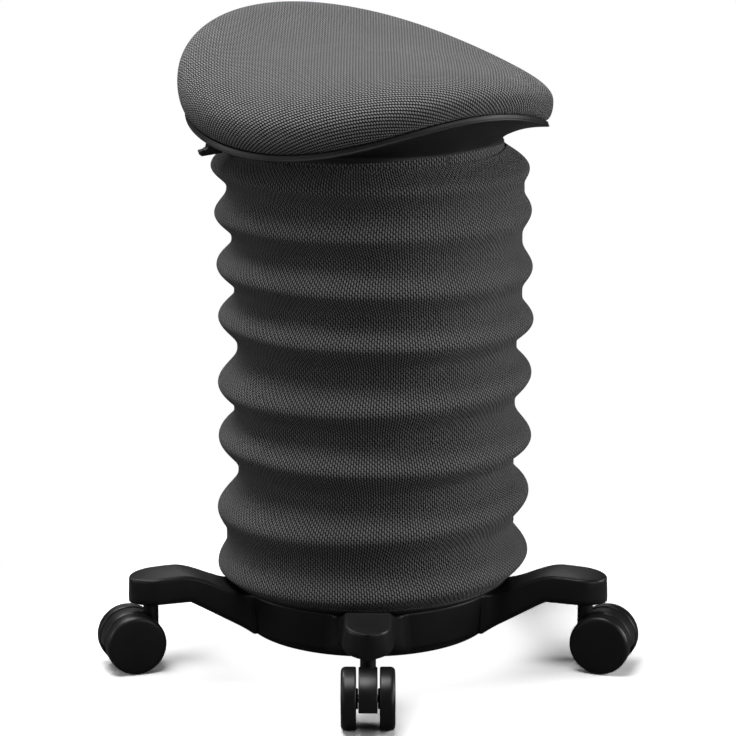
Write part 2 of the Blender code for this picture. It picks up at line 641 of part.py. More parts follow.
sleeve_bore = CYLINDER_RADIUS + FIT
dish_rim_top = MOUTH_HEIGHT - DISH_RIM_DROP
dish_profile = [
    (DISH_RADIUS, dish_rim_top),
    (DISH_RADIUS, DISH_FOOT),
    (sleeve_bore + SLEEVE_WALL, DISH_FOOT),
    (sleeve_bore + SLEEVE_WALL, SLEEVE_FOOT),
    (sleeve_bore, SLEEVE_FOOT),
    (sleeve_bore, SLEEVE_TOP),
    (BEARING_RADIUS, SLEEVE_TOP),
    (BEARING_RADIUS, DISH_FOOT + DISH_FLOOR),
    (DISH_RADIUS - DISH_WALL, DISH_FOOT + DISH_FLOOR),
    (DISH_RADIUS - DISH_WALL, dish_rim_top),
]
turned("carrier_dish", dish_profile, BELLOWS_SIDES, BLACK_NYLON, lift)
tube("swivel_bearing", BEARING_RADIUS, sleeve_bore, BEARING_FOOT, BEARING_FOOT + BEARING_HEIGHT,
     ROUND_STEPS, STEEL, lift)
release_pin_top = LEVER_UNDERSIDE - PLAY
rod("release_pin", PIN_RADIUS, pin_foot, release_pin_top, SMALL_STEPS, STEEL, lift)

# Swivel body: the turning plate under the rubber mount
swivel = frame("swivel", lift)
swivel_profile = [
    (sleeve_bore + SWIVEL_NECK_WALL, SWIVEL_TOP + SWIVEL_NECK_RISE),
    (sleeve_bore + SWIVEL_NECK_WALL, SWIVEL_TOP),
    (SWIVEL_PLATE_RADIUS, SWIVEL_TOP),
    (SWIVEL_PLATE_RADIUS, SWIVEL_FOOT),
    (sleeve_bore, SWIVEL_FOOT),
    (sleeve_bore, SWIVEL_TOP + SWIVEL_NECK_RISE),
]
turned("swivel_plate", swivel_profile, ROUND_STEPS, BLACK_STEEL, swivel)

# Rubber mount: a waisted rubber ring that lets the seat lean to any side
mount = frame("rubber", swivel, (0, 0, TILT_HEIGHT))
half_rubber = RUBBER_HEIGHT / 2
rubber_profile = [
    (SWIVEL_PLATE_RADIUS - PLAY, half_rubber),
    (SWIVEL_PLATE_RADIUS - PLAY - RUBBER_WAIST, half_rubber / 2),
    (SWIVEL_PLATE_RADIUS - PLAY - RUBBER_WAIST, -half_rubber / 2),
    (SWIVEL_PLATE_RADIUS - PLAY, -half_rubber),
    (RUBBER_BORE, -half_rubber),
    (RUBBER_BORE, half_rubber),
]
turned("rubber_mount", rubber_profile, ROUND_STEPS, RUBBER, mount)

# Seat body, in heights above the lean's centre
seat = frame("seat", mount)
lever_line = frame("lever_line", seat, turn=LEVER_ANGLE)
seat_front = frame("seat_front", seat, turn=SEAT_FRONT_ANGLE)
frame_foot = FRAME_FOOT - TILT_HEIGHT
rail_foot = RAIL_FOOT - TILT_HEIGHT
board_foot = BOARD_FOOT - TILT_HEIGHT
board_top = BOARD_TOP - TILT_HEIGHT
rail_top = rail_foot + RAIL_HEIGHT
lever_height = LEVER_PIVOT_HEIGHT - TILT_HEIGHT

seat_frame = rod("seat_frame", FRAME_PLATE_RADIUS, frame_foot, rail_foot, ROUND_STEPS, BLACK_STEEL, lever_line)
rail_sides = (("left", 1), ("right", -1))
for side, sign in rail_sides:
    across = sign * RAIL_SPACING / 2
    rail = block(
        f"rail_{side}", (-RAIL_LENGTH / 2, across - RAIL_WIDTH / 2, rail_foot - PLAY),
        (RAIL_LENGTH / 2, across + RAIL_WIDTH / 2, rail_top), None, lever_line, helper=True,
    )
    combine(seat_frame, rail, "UNION")
slot_half_width = LEVER_HALF_WIDTH + 3 * PLAY
lever_slot = block(
    "lever_slot", (-2 * LEVER_HEEL - 2 * PLAY, -slot_half_width, frame_foot - PLAY),
    (LEVER_PIVOT_RADIUS - 2 * PLAY, slot_half_width, rail_foot + PLAY), None, lever_line, helper=True,
)
combine(seat_frame, lever_slot)
across_lever = (math.pi / 2, 0, 0)
pivot_at = (LEVER_PIVOT_RADIUS, 0, lever_height)
pin_half_length = RAIL_SPACING / 2 + RAIL_WIDTH / 2
drill(seat_frame, "lever_pin_bore", LEVER_PIN_RADIUS + FIT, -2 * pin_half_length, 2 * pin_half_length, lever_line,
      location=pivot_at, rotation=across_lever)
rod("lever_pin", LEVER_PIN_RADIUS, -pin_half_length, pin_half_length, SMALL_STEPS, STEEL, lever_line,
    location=pivot_at, rotation=across_lever)

board = rod("seat_board", BOARD_RADIUS, board_foot, board_top, BELLOWS_SIDES, PLYWOOD, seat)
screw_top = board_foot + SCREW_BITE
hole_radius = SCREW_RADIUS + FIT


def screw(name, seat_height, parent, location):
    """A pan-head screw driven up from below into the seat board."""
    head_top = seat_height - FIT
    profile = [
        (0, screw_top),
        (SCREW_RADIUS, screw_top),
        (SCREW_RADIUS, head_top),
        (SCREW_HEAD_RADIUS, head_top),
        (SCREW_HEAD_RADIUS - PLAY, head_top - SCREW_HEAD),
        (0, head_top - SCREW_HEAD),
    ]
    turned(name, profile, SMALL_STEPS, STEEL, parent, location=location)
    drill(board, name + "_pilot", hole_radius, board_foot - PLAY, screw_top + FIT, parent, location=location)


number = 0
for end in (1, -1):
    for side, sign in rail_sides:
        number += 1
        at = (end * (RAIL_LENGTH / 2 - SCREW_INSET), sign * RAIL_SPACING / 2, 0)
        drill(seat_frame, f"rail_hole_{number}", hole_radius, rail_foot - 2 * PLAY, rail_top + PLAY, lever_line,
              location=at)
        screw(f"frame_screw_{number}", rail_foot - PLAY, lever_line, at)

# Seat shell: a spherical collar that leans inside the dish, and a wavy flare up to the rim
collar_top = COLLAR_TOP - TILT_HEIGHT
collar_foot = MOUTH_HEIGHT - COLLAR_PLUNGE - TILT_HEIGHT
collar_inner = COLLAR_RADIUS - SHELL_WALL
flange_foot = collar_top - SHELL_WALL
flange_inner = collar_inner - SHELL_FLANGE_WIDTH


def sphere_radius(radius, height):
    return math.sqrt(radius ** 2 - height ** 2)


collar_heights = [collar_top + (collar_foot - collar_top) * i / 4 for i in range(5)]
collar_profile = [(sphere_radius(COLLAR_RADIUS, z), z) for z in collar_heights]
collar_profile += [(sphere_radius(collar_inner, z), z) for z in (collar_foot, 0.0, flange_foot)]
collar_profile += [(flange_inner, flange_foot), (flange_inner, collar_top)]
shell = turned("seat_shell", collar_profile, BELLOWS_SIDES, SHELL_BLACK, seat)

flare_start = sphere_radius(COLLAR_RADIUS, flange_foot) - SHELL_WALL / 2


def seat_radius(angle, inset=0.0):
    """Plan radius of the seat at an angle from its front: a circle that reaches a little further back."""
    return SEAT_RADIUS - SEAT_REAR_OVERHANG * math.cos(angle) - inset


def seat_point(radius, angle, height):
    return (radius * math.cos(angle), radius * math.sin(angle), height)


seat_angles = [2 * math.pi * i / SEAT_SIDES for i in range(SEAT_SIDES)]
flare_shares = (0.0, 0.15, 0.4, 0.7, 1.0)


def flare_ring(share, thickness):
    """A ring of the flare, part of the way from the collar to the rim: steep at first, then levelling out."""
    ring = []
    for angle in seat_angles:
        rim_foot = wave(RIM_WAVE, angle) - SHELL_RIM_EDGE - FIT
        root = flange_foot + PLAY
        height = root + (rim_foot - root) * (1 - (1 - share) ** 2)
        rim_radius = seat_radius(angle, SHELL_RIM_INSET)
        radius = flare_start + (rim_radius - flare_start) * share
        ring.append(seat_point(radius, angle, height + thickness))
    return ring


root_wall = SHELL_WALL - 2 * PLAY
flare_rings = [flare_ring(share, 0.0) for share in flare_shares]
for share in reversed(flare_shares):
    wall = root_wall + (SHELL_RIM_EDGE - root_wall) * min(1.0, share / flare_shares[1])
    flare_rings.append(flare_ring(share, wall))
flare = loft("shell_flare", flare_rings, None, seat_front, ring_shaped=True, helper=True)
combine(shell, flare, "UNION")
boss_circle = (flange_inner + sphere_radius(collar_inner, flange_foot)) / 2 - PLAY
boss_angles = [LEVER_ANGLE + math.radians(45 + 90 * i) for i in range(4)]
for number, angle in enumerate(boss_angles, 1):
    at = seat_point(boss_circle, angle, 0)
    boss = rod(f"shell_boss_{number}", SHELL_BOSS_RADIUS, flange_foot + PLAY, board_foot - FIT, SMALL_STEPS, None, seat,
               helper=True, location=at)
    combine(shell, boss, "UNION")
for number, angle in enumerate(boss_angles, 1):
    at = seat_point(boss_circle, angle, 0)
    drill(shell, f"boss_hole_{number}", hole_radius, flange_foot - PLAY, board_foot, seat, location=at)
    screw(f"shell_screw_{number}", flange_foot, seat, at)

# Height lever: a flat bar that steps down through a slot in the shell to a finger paddle
heel = -LEVER_HEEL
bar_foot = -LEVER_THICKNESS / 2
bar_top = LEVER_THICKNESS / 2
paddle_start = LEVER_REACH - LEVER_PADDLE_LENGTH
step_start = paddle_start - LEVER_STEP_RUN
step_end_top = bar_top - LEVER_STEP_DROP
paddle_foot = bar_foot - LEVER_PADDLE_DROP
shank = LEVER_REACH - LEVER_PADDLE_LENGTH * 0.34
lever_outline = [
    (heel, bar_foot),
    (step_start - PLAY, bar_foot),
    (paddle_start, bar_foot - LEVER_STEP_DROP + PLAY),
    (paddle_start + PLAY, paddle_foot + 2.5 * PLAY),
    (LEVER_REACH - PLAY, paddle_foot),
    (LEVER_REACH, paddle_foot + LEVER_THICKNESS),
    (shank + 2 * PLAY, paddle_foot + LEVER_THICKNESS + 3 * PLAY),
    (shank, step_end_top),
    (paddle_start + 3 * PLAY, step_end_top),
    (step_start + 3 * PLAY, bar_top),
    (heel, bar_top),
]
lever_at_pivot = [(x - LEVER_PIVOT_RADIUS, z) for x, z in lever_outline]
lever_pivot = frame("lever_pivot", lever_line, pivot_at)
lever = slab("height_lever", lever_at_pivot, 2 * LEVER_HALF_WIDTH, SHELL_BLACK, lever_pivot, rotation=across_lever)
eye = rod("lever_eye", LEVER_THICKNESS, -LEVER_HALF_WIDTH, LEVER_HALF_WIDTH, SMALL_STEPS, None, lever_pivot, helper=True,
          rotation=across_lever)
combine(lever, eye, "UNION")
drill(lever, "lever_eye_bore", LEVER_PIN_RADIUS + FIT, -2 * LEVER_HALF_WIDTH, 2 * LEVER_HALF_WIDTH, lever_pivot,
      rotation=across_lever)
lever_rise = (paddle_start - LEVER_PIVOT_RADIUS) * math.sin(LEVER_TRAVEL)
slot_end = max(paddle_start + LEVER_HALF_WIDTH + 2 * PLAY, COLLAR_RADIUS + 3 * SHELL_WALL)
shell_slot = block(
    "shell_slot", (flange_inner - PLAY, -slot_half_width, lever_height + bar_foot - PLAY),
    (slot_end, slot_half_width, lever_height + bar_top + lever_rise), None, lever_line,
    helper=True,
)
combine(shell, shell_slot)
step_slot = block(
    "step_slot", (step_start - PLAY, -slot_half_width, lever_height + bar_foot - LEVER_PADDLE_DROP),
    (slot_end, slot_half_width, lever_height + bar_foot), None, lever_line, helper=True,
)
combine(shell, step_slot)

# Seat cushion: a saddle with a bulging side that tucks in at the shell's rim
centre_height = MOUTH_HEIGHT + SEAT_CENTRE_RISE - TILT_HEIGHT


def cushion_side_ring(inset, share, drop=0.0):
    """A ring of the cushion's side, part of the way up from the rim to the crest."""
    ring = []
    for angle in seat_angles:
        rim = wave(RIM_WAVE, angle)
        crest = wave(TOP_WAVE, angle)
        ring.append(seat_point(seat_radius(angle, inset), angle, rim + (crest - rim) * share - drop))
    return ring


def cushion_top_ring(reach):
    """A ring of the domed top, part of the way out to the widest line, where it has rolled over into the side."""
    ring = []
    for angle in seat_angles:
        rim = wave(RIM_WAVE, angle)
        crest = wave(TOP_WAVE, angle)
        widest = seat_radius(angle)
        bend = (crest - centre_height) / seat_radius(angle, SEAT_CREST_INSET) ** 2
        from_edge = min(widest * (1 - reach) / SEAT_ROLL, 1.0)
        roll = 1 - (1 - (1 - from_edge) ** SEAT_ROLL_POWER) ** (1 / SEAT_ROLL_POWER)
        drop = centre_height + bend * widest ** 2 - rim - (crest - rim) * SEAT_WIDEST_SHARE
        height = centre_height + bend * (widest * reach) ** 2 - drop * roll
        ring.append(seat_point(widest * reach, angle, height))
    return ring


cushion_foot = board_top + FIT
cushion_rings = [[seat_point(BOARD_RADIUS + 2 * PLAY, angle, cushion_foot) for angle in seat_angles]]
cushion_rings += [flare_ring(share, SHELL_RIM_EDGE + PLAY) for share in (0.55, 0.75, 0.9)]
cushion_rings.append(cushion_side_ring(SHELL_RIM_INSET + PLAY, 0.03))
cushion_rings.append(cushion_side_ring(PLAY, 0.2))
cushion_rings += [cushion_top_ring(reach) for reach in (1.0, 0.985, 0.95, 0.89, 0.81, 0.7, 0.5, 0.3, 0.12)]
loft("seat_cushion", cushion_rings, SEAT_MESH, seat_front)
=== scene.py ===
"""Balance stool in a plain white studio: a saddle seat on a ribbed knit bellows and a five-arm caster base.

The pieces are laid out from the floor up, in metres. The column's axis is Z and the front arm points to -Y.
"""
import json
import math

import bmesh
import bpy
import numpy as np
from mathutils import Matrix, Vector


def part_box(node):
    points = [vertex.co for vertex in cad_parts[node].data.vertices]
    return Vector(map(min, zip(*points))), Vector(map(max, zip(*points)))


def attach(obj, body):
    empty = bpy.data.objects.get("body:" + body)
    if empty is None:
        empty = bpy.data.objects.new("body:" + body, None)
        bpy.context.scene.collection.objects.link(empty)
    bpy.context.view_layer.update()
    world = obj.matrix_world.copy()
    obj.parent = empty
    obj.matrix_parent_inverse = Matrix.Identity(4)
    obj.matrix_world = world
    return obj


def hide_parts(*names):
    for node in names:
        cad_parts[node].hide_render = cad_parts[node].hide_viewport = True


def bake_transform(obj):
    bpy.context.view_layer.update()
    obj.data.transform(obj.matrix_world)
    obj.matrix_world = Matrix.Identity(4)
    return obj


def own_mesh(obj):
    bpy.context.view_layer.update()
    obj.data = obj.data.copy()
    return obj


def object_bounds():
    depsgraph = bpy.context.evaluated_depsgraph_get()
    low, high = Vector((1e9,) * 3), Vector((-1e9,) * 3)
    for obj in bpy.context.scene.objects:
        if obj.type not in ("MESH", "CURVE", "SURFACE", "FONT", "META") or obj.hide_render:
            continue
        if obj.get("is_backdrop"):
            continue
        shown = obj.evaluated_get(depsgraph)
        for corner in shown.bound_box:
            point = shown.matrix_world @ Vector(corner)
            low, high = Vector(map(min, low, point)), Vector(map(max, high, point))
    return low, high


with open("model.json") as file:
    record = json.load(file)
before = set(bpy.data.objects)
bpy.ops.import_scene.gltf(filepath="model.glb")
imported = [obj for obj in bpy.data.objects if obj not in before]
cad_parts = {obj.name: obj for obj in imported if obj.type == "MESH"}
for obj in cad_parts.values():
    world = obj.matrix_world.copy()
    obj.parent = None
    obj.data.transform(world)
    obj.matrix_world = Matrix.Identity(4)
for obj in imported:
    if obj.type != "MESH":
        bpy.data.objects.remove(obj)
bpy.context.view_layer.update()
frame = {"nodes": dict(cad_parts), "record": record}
nodes = frame["nodes"]

# Camera: in front of the front arm, above the seat and looking a little down.
# A long lens keeps the stool's sides nearly parallel.
camera_distance = 3.1182
camera_height = 1.09435
look_down = 0.248
camera = bpy.data.objects.new("camera", bpy.data.cameras.new("camera"))
bpy.context.scene.collection.objects.link(camera)
camera.location = (0, -camera_distance, camera_height)
camera.rotation_euler = (math.pi / 2 - look_down, 0, 0)
camera.data.sensor_width = 36
camera.data.lens = 149.07
bpy.context.scene.camera = camera
bpy.context.scene.view_settings.view_transform = "Standard"

# Studio: a white paper floor under a white surround, lit by large soft panels.
# The floor keeps the casters' shadows, is plain white elsewhere, and throws little light back at the stool.
surround_light = 0.03
paper_half = 15
paper_light = 0.1
paper_seen = 1.6
shadow_inside = (0.22, 0.15)
shadow_outside = (0.30, 0.50)
panel_aim = Vector((0, 0, 0.35))
panels = (
    ("light_top", (-0.25, -0.4, 2.2), 1.2, 33),
    ("light_back", (0.0, 2.0, 1.3), 1.0, 3.5),
    ("light_back_left", (-1.1, 1.1, 1.9), 1.0, 19),
    ("light_right", (2.15, 0.0, 0.75), 1.0, 22),
    ("light_front_right", (1.55, -1.55, 0.75), 1.0, 7.5),
    ("light_front_left", (-1.55, -1.55, 0.75), 1.0, 2),
    ("light_left", (-2.15, 0.0, 0.75), 1.0, 7),
)


def add(tree, kind, links=None, **settings):
    """A node with its settings; links gives each input a value or another node's output."""
    made = tree.nodes.new(kind)
    for key, value in settings.items():
        setattr(made, key, value)
    for key, value in (links or {}).items():
        if isinstance(value, bpy.types.NodeSocket):
            tree.links.new(value, made.inputs[key])
        else:
            made.inputs[key].default_value = value
    return made


def maths(tree, operation, *values):
    """The result of a maths node."""
    return add(tree, "ShaderNodeMath", dict(enumerate(values)), operation=operation).outputs[0]


def ramp(tree, value, before, after=(0.0, 1.0), ease="LINEAR"):
    """A value carried from one range to another."""
    ranges = {1: before[0], 2: before[1], 3: after[0], 4: after[1]}
    return add(tree, "ShaderNodeMapRange", {0: value, **ranges}, interpolation_type=ease).outputs[0]


world = bpy.data.worlds.new("studio")
bpy.context.scene.world = world
world.use_nodes = True
tree = world.node_tree
tree.nodes.clear()
path = add(tree, "ShaderNodeLightPath")
strength = ramp(tree, path.outputs["Is Camera Ray"], (0.0, 1.0), (surround_light, 1.0))
surround = add(tree, "ShaderNodeBackground", {"Color": (1, 1, 1, 1), "Strength": strength})
add(tree, "ShaderNodeOutputWorld", {0: surround.outputs[0]})

floor_mesh = bpy.data.meshes.new("floor")
floor_corners = [(x * paper_half, y * paper_half, 0) for x, y in ((-1, -1), (1, -1), (1, 1), (-1, 1))]
floor_mesh.from_pydata(floor_corners, [], [(0, 1, 2, 3)])
floor = bpy.data.objects.new("floor", floor_mesh)
bpy.context.scene.collection.objects.link(floor)
floor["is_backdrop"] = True
paper = bpy.data.materials.new("paper")
paper.use_nodes = True
floor_mesh.materials.append(paper)
tree = paper.node_tree
tree.nodes.clear()
path = add(tree, "ShaderNodeLightPath")
spot = add(tree, "ShaderNodeNewGeometry")
reach = add(tree, "ShaderNodeVectorMath", {0: spot.outputs["Position"]}, operation="LENGTH")
outside = ramp(tree, reach.outputs["Value"], shadow_outside, ease="SMOOTHSTEP")
inside = ramp(tree, reach.outputs["Value"], shadow_inside, ease="SMOOTHSTEP")
plain = maths(tree, "MAXIMUM", outside, inside)
seen_plain = maths(tree, "MULTIPLY", plain, path.outputs["Is Camera Ray"])
tone = ramp(tree, path.outputs["Is Camera Ray"], (0.0, 1.0), (paper_light, paper_seen))
matt = add(tree, "ShaderNodeBsdfDiffuse", {"Color": tone})
white = add(tree, "ShaderNodeEmission", {"Color": (1, 1, 1, 1), "Strength": 1.0})
both = add(tree, "ShaderNodeMixShader", {0: seen_plain, 1: matt.outputs[0], 2: white.outputs[0]})
add(tree, "ShaderNodeOutputMaterial", {0: both.outputs[0]})

for name, place, size, watts in panels:
    lamp = bpy.data.lights.new(name, "AREA")
    lamp.size = size
    lamp.energy = watts
    light = bpy.data.objects.new(name, lamp)
    bpy.context.scene.collection.objects.link(light)
    light.location = place
    light.rotation_euler = (panel_aim - light.location).to_track_quat("-Z", "Y").to_euler()


# Base: one black nylon moulding of a round hub with a lower pan and five gull-winged arms.
# Each arm runs into the hub with a fillet, and has a blind socket in its tip for a caster's stem.
# Its surface has the fine spark texture and faintly cloudy gloss of moulded plastic.
moulding = bpy.data.node_groups.new("moulded_surface", "ShaderNodeTree")
moulding.interface.new_socket("Grain", in_out="INPUT", socket_type="NodeSocketFloat")
moulding.interface.new_socket("Depth", in_out="INPUT", socket_type="NodeSocketFloat")
moulding.interface.new_socket("Cloud", in_out="OUTPUT", socket_type="NodeSocketFloat")
moulding.interface.new_socket("Normal", in_out="OUTPUT", socket_type="NodeSocketVector")
given = add(moulding, "NodeGroupInput").outputs
where = add(moulding, "ShaderNodeTexCoord").outputs["Object"]
cloud = add(moulding, "ShaderNodeTexNoise", {"Vector": where, "Scale": 28.0, "Detail": 4.0})
spark = add(moulding, "ShaderNodeTexNoise", {"Vector": where, "Scale": given["Grain"], "Detail": 2.0})
relief = add(moulding, "ShaderNodeBump",
             {"Height": spark.outputs[0], "Strength": given["Depth"], "Distance": 0.0003})
add(moulding, "NodeGroupOutput", {"Cloud": cloud.outputs[0], "Normal": relief.outputs[0]})


def plastic(name, dark, light, roughness, spread, grain, depth, specular=0.5):
    """A moulded plastic between two greys, with its gloss varying by spread about its roughness."""
    material = bpy.data.materials.new(name)
    material.use_nodes = True
    tree = material.node_tree
    shader = tree.nodes["Principled BSDF"]
    skin = add(tree, "ShaderNodeGroup", node_tree=moulding)
    skin.inputs["Grain"].default_value = grain
    skin.inputs["Depth"].default_value = depth
    shade = ramp(tree, skin.outputs["Cloud"], (0.3, 0.7), (dark, light))
    gloss = ramp(tree, skin.outputs["Cloud"], (0.3, 0.7), (roughness - spread, roughness + spread))
    tree.links.new(shade, shader.inputs["Base Color"])
    tree.links.new(gloss, shader.inputs["Roughness"])
    tree.links.new(skin.outputs["Normal"], shader.inputs["Normal"])
    shader.inputs["Specular IOR Level"].default_value = specular
    return material


def rounded(points):
    """A polygon of (x, y, radius) points with its corners rounded."""
    made = []
    for i, (x, y, radius) in enumerate(points):
        here = Vector((x, y))
        before = Vector(points[i - 1][:2]) - here
        after = Vector(points[(i + 1) % len(points)][:2]) - here
        if radius <= 0:
            made.append((x, y))
            continue
        reach = min(radius / math.tan(before.angle(after) / 2), before.length * 0.49, after.length * 0.49)
        start = here + before.normalized() * reach
        end = here + after.normalized() * reach
        for step in range(7):
            t = step / 6
            made.append(tuple(start * (1 - t) ** 2 + here * 2 * t * (1 - t) + end * t ** 2))
    return made


def full_turn(count):
    """Even angles once round a circle."""
    return [2 * math.pi * i / count for i in range(count)]


def lathe(shape, profile, steps, at):
    """Turns a closed profile of (radius, height) about an axis; at maps (x, y, height) to a place."""
    rows = []
    for radius, height in profile:
        around = full_turn(steps) if radius > 1e-6 else [0.0]
        places = [at(radius * math.cos(a), radius * math.sin(a), height) for a in around]
        rows.append([shape.verts.new(place) for place in places])
    pairs = list(zip(rows, rows[1:]))
    if profile[0][0] > 1e-6:
        pairs.append((rows[-1], rows[0]))
    for low, high in pairs:
        for i in range(steps):
            j = (i + 1) % steps
            corners = [low[i % len(low)], low[j % len(low)], high[j % len(high)], high[i % len(high)]]
            shape.faces.new(list(dict.fromkeys(corners)))


def skin_rings(shape, rings, ring_shaped=False):
    """Faces between rings of points, with flat ends or joined back to the first ring."""
    rows = [[shape.verts.new(point) for point in ring] for ring in rings]
    pairs = list(zip(rows, rows[1:]))
    if ring_shaped:
        pairs.append((rows[-1], rows[0]))
    for low, high in pairs:
        for i in range(len(low)):
            j = (i + 1) % len(low)
            shape.faces.new((low[i], low[j], high[j], high[i]))
    if not ring_shaped:
        shape.faces.new(rows[0])
        shape.faces.new(rows[-1])


def put(name, shape, material, smooth_angle=40):
    """A finished piece in the scene from a bmesh, shaded smooth except at its sharp edges."""
    mesh = bpy.data.meshes.new(name)
    bmesh.ops.recalc_face_normals(shape, faces=shape.faces)
    shape.to_mesh(mesh)
    shape.free()
    mesh.shade_smooth()
    mesh.set_sharp_from_angle(angle=math.radians(smooth_angle))
    mesh.materials.append(material)
    piece = bpy.data.objects.new(name, mesh)
    bpy.context.scene.collection.objects.link(piece)
    return piece


def combine(piece, tools, operation, smooth_angle):
    """Joins the tools to the piece, or cuts them out of it, and clears them away."""
    for tool in tools:
        step = piece.modifiers.new("combine", "BOOLEAN")
        step.operation = operation
        step.object = tool
    made = bpy.data.meshes.new_from_object(piece.evaluated_get(bpy.context.evaluated_depsgraph_get()))
    piece.modifiers.clear()
    piece.data = made
    made.shade_smooth()
    made.set_sharp_from_angle(angle=math.radians(smooth_angle))
    for tool in tools:
        bpy.data.objects.remove(tool)


def dress(piece, body, node):
    """The piece moves with a body, and stands for a solid of the model, which it hides."""
    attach(piece, body)
    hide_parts(node)


base_black = plastic("base_black", dark=0.013, light=0.017, roughness=0.36, spread=0.05, grain=1500.0,
                     depth=0.10, specular=0.25)
hub_radius = 0.145
hub_top = 0.08025
wall_foot = 0.03925
pan_foot = 0.02925
pan_roof = 0.07125
tower_radius = 0.0423
tower_top = 0.11325
boss_radius = 0.060
boss_foot = 0.0358
bore_radius = 0.0254
hub_profile = rounded([
    (tower_radius, tower_top, 0.003), (tower_radius, hub_top, 0.006), (hub_radius, hub_top, 0.004),
    (0.143, wall_foot, 0.004), (0.1335, wall_foot, 0.001), (0.1315, pan_foot, 0.002),
    (0.1235, pan_foot, 0.002), (0.122, pan_roof, 0.004), (boss_radius, pan_roof, 0.004),
    (boss_radius, boss_foot, 0.002), (bore_radius, boss_foot, 0.0), (bore_radius, tower_top, 0.0),
])
shape = bmesh.new()
lathe(shape, hub_profile, 180, lambda x, y, z: (x, y, z))
hub = put("base_star_visual", shape, base_black)

caster_circle = 0.240
arm_half = 0.024
arm_root_half = 0.030
arm_root_top = hub_top - 0.001
arm_underside = 0.07225
arm_crest = 0.10225
crest_start = 0.212
bend_start = 0.202
bend_end = 0.13925
bend_drop = 0.036
tip_start = 0.234
tip_end = 0.2625
tip_drop = 0.003
shoulder_round = 0.0040
keel_round = 0.0080
side_draft = 0.0025
fillet = 0.018
fillet_start = math.sqrt((hub_radius + fillet) ** 2 - (arm_root_half + fillet) ** 2)
fillet_end = fillet_start * hub_radius / (hub_radius + fillet)
socket_radius = 0.0058
socket_top = 0.0906
socket_foot = 0.05


def smooth(low, high, value):
    """Eased share of the way from low to high."""
    t = min(max((value - low) / (high - low), 0.0), 1.0)
    return t * t * (3 - 2 * t)


def arm_ring(radius):
    """One section of an arm: a crisp shoulder at the top and a softer keel below."""
    past = max(radius - tip_start, 0.0) / (tip_end - tip_start)
    half = arm_half * math.sqrt(max(1 - past ** 2, 1e-4))
    half += (arm_root_half - arm_half) * smooth(bend_start, hub_radius, radius)
    into = min(max(fillet_start - radius, 0.0), fillet_start - fillet_end)
    half += fillet - math.sqrt(fillet ** 2 - into ** 2)
    if radius < crest_start:
        top = arm_root_top + (arm_crest - arm_root_top) * smooth(0.140, crest_start, radius)
    else:
        top = arm_crest - tip_drop * ((radius - crest_start) / (tip_end - crest_start)) ** 2
    foot = arm_underside - bend_drop * min(max((bend_start - radius) / (bend_start - bend_end), 0.0), 1.0)
    shoulder = min(shoulder_round, half * 0.9)
    keel = min(keel_round, half * 0.9)
    wide = half + side_draft
    ring = []
    for across, height, bend, start in (
        (wide - keel, foot + keel, keel, -90), (half - shoulder, top - shoulder, shoulder, 0),
        (shoulder - half, top - shoulder, shoulder, 90), (keel - wide, foot + keel, keel, 180),
    ):
        for step in range(8):
            angle = math.radians(start + 90 * step / 7)
            ring.append((radius, across + bend * math.cos(angle), height + bend * math.sin(angle)))
    return ring


stations = [0.125] + [fillet_end + (fillet_start - fillet_end) * i / 10 for i in range(11)]
stations += [fillet_start + (tip_start - fillet_start) * i / 32 for i in range(1, 33)]
stations += [tip_start + (tip_end - tip_start) * math.sin(math.radians(a)) for a in range(6, 90, 6)]
socket_profile = [(0, socket_top), (socket_radius, socket_top), (socket_radius, socket_foot),
                  (0, socket_foot)]
arm_angles = [math.radians(-90 + 72 * i) for i in range(5)]
arms = []
sockets = []
for number, angle in enumerate(arm_angles, 1):
    shape = bmesh.new()
    skin_rings(shape, [arm_ring(radius) for radius in stations])
    bmesh.ops.rotate(shape, verts=shape.verts, matrix=Matrix.Rotation(angle, 3, "Z"))
    arms.append(put(f"arm_{number}", shape, base_black))
    shape = bmesh.new()
    stem_at = Vector((caster_circle * math.cos(angle), caster_circle * math.sin(angle), 0))
    lathe(shape, socket_profile, 32, lambda x, y, z: stem_at + Vector((x, y, z)))
    sockets.append(put(f"socket_{number}", shape, base_black))
combine(hub, arms, "UNION", 32)
combine(hub, sockets, "DIFFERENCE", 32)
dress(hub, "base", "base_star")


# Casters: a half-round black nylon hood between two wheels with well rounded rims and slightly domed faces.
# The hood's neck turns on the stem under the arm, and the wheels turn on an axle through the hood's boss.
wheel_black = plastic("wheel_black_visual", dark=0.006, light=0.009, roughness=0.38, spread=0.06,
                      grain=1300.0, depth=0.12)
wheel_radius = 0.03175
trail = 0.021
hood_width = 0.019
hood_radius = 0.03145
hood_drop = 0.0045
hood_edge = 0.0012
neck_radius = 0.0080
neck_top = 0.07195
neck_foot = 0.040
boss_half = 0.0094
wheel_inner = 0.0118
wheel_outer = 0.0271
recess = wheel_inner + 0.0015
axle_bore = 0.0043
axle_end = 0.0236
wheel_profile = rounded([
    (0.0, wheel_outer + 0.0004, 0.0), (0.0180, wheel_outer + 0.0002, 0.0),
    (wheel_radius, wheel_outer, 0.0055), (wheel_radius, wheel_inner, 0.0020), (0.0270, wheel_inner, 0.001),
    (0.0255, recess, 0.001), (0.0110, recess, 0.001), (0.0100, 0.0098, 0.0006), (axle_bore, 0.0098, 0.0),
    (axle_bore, axle_end, 0.0), (0.0, axle_end, 0.0),
])
hood_dip = math.asin(-hood_drop / hood_radius)
hood_outline = []
for i in range(61):
    sweep = hood_dip + (math.pi - 2 * hood_dip) * i / 60
    forward = trail + hood_radius * math.cos(sweep)
    hood_outline.append((forward, wheel_radius + hood_radius * math.sin(sweep)))
neck = rounded([(0.0, neck_top, 0.0), (neck_radius, neck_top, 0.0008), (neck_radius, neck_foot, 0.0),
                (0.0, neck_foot, 0.0)])
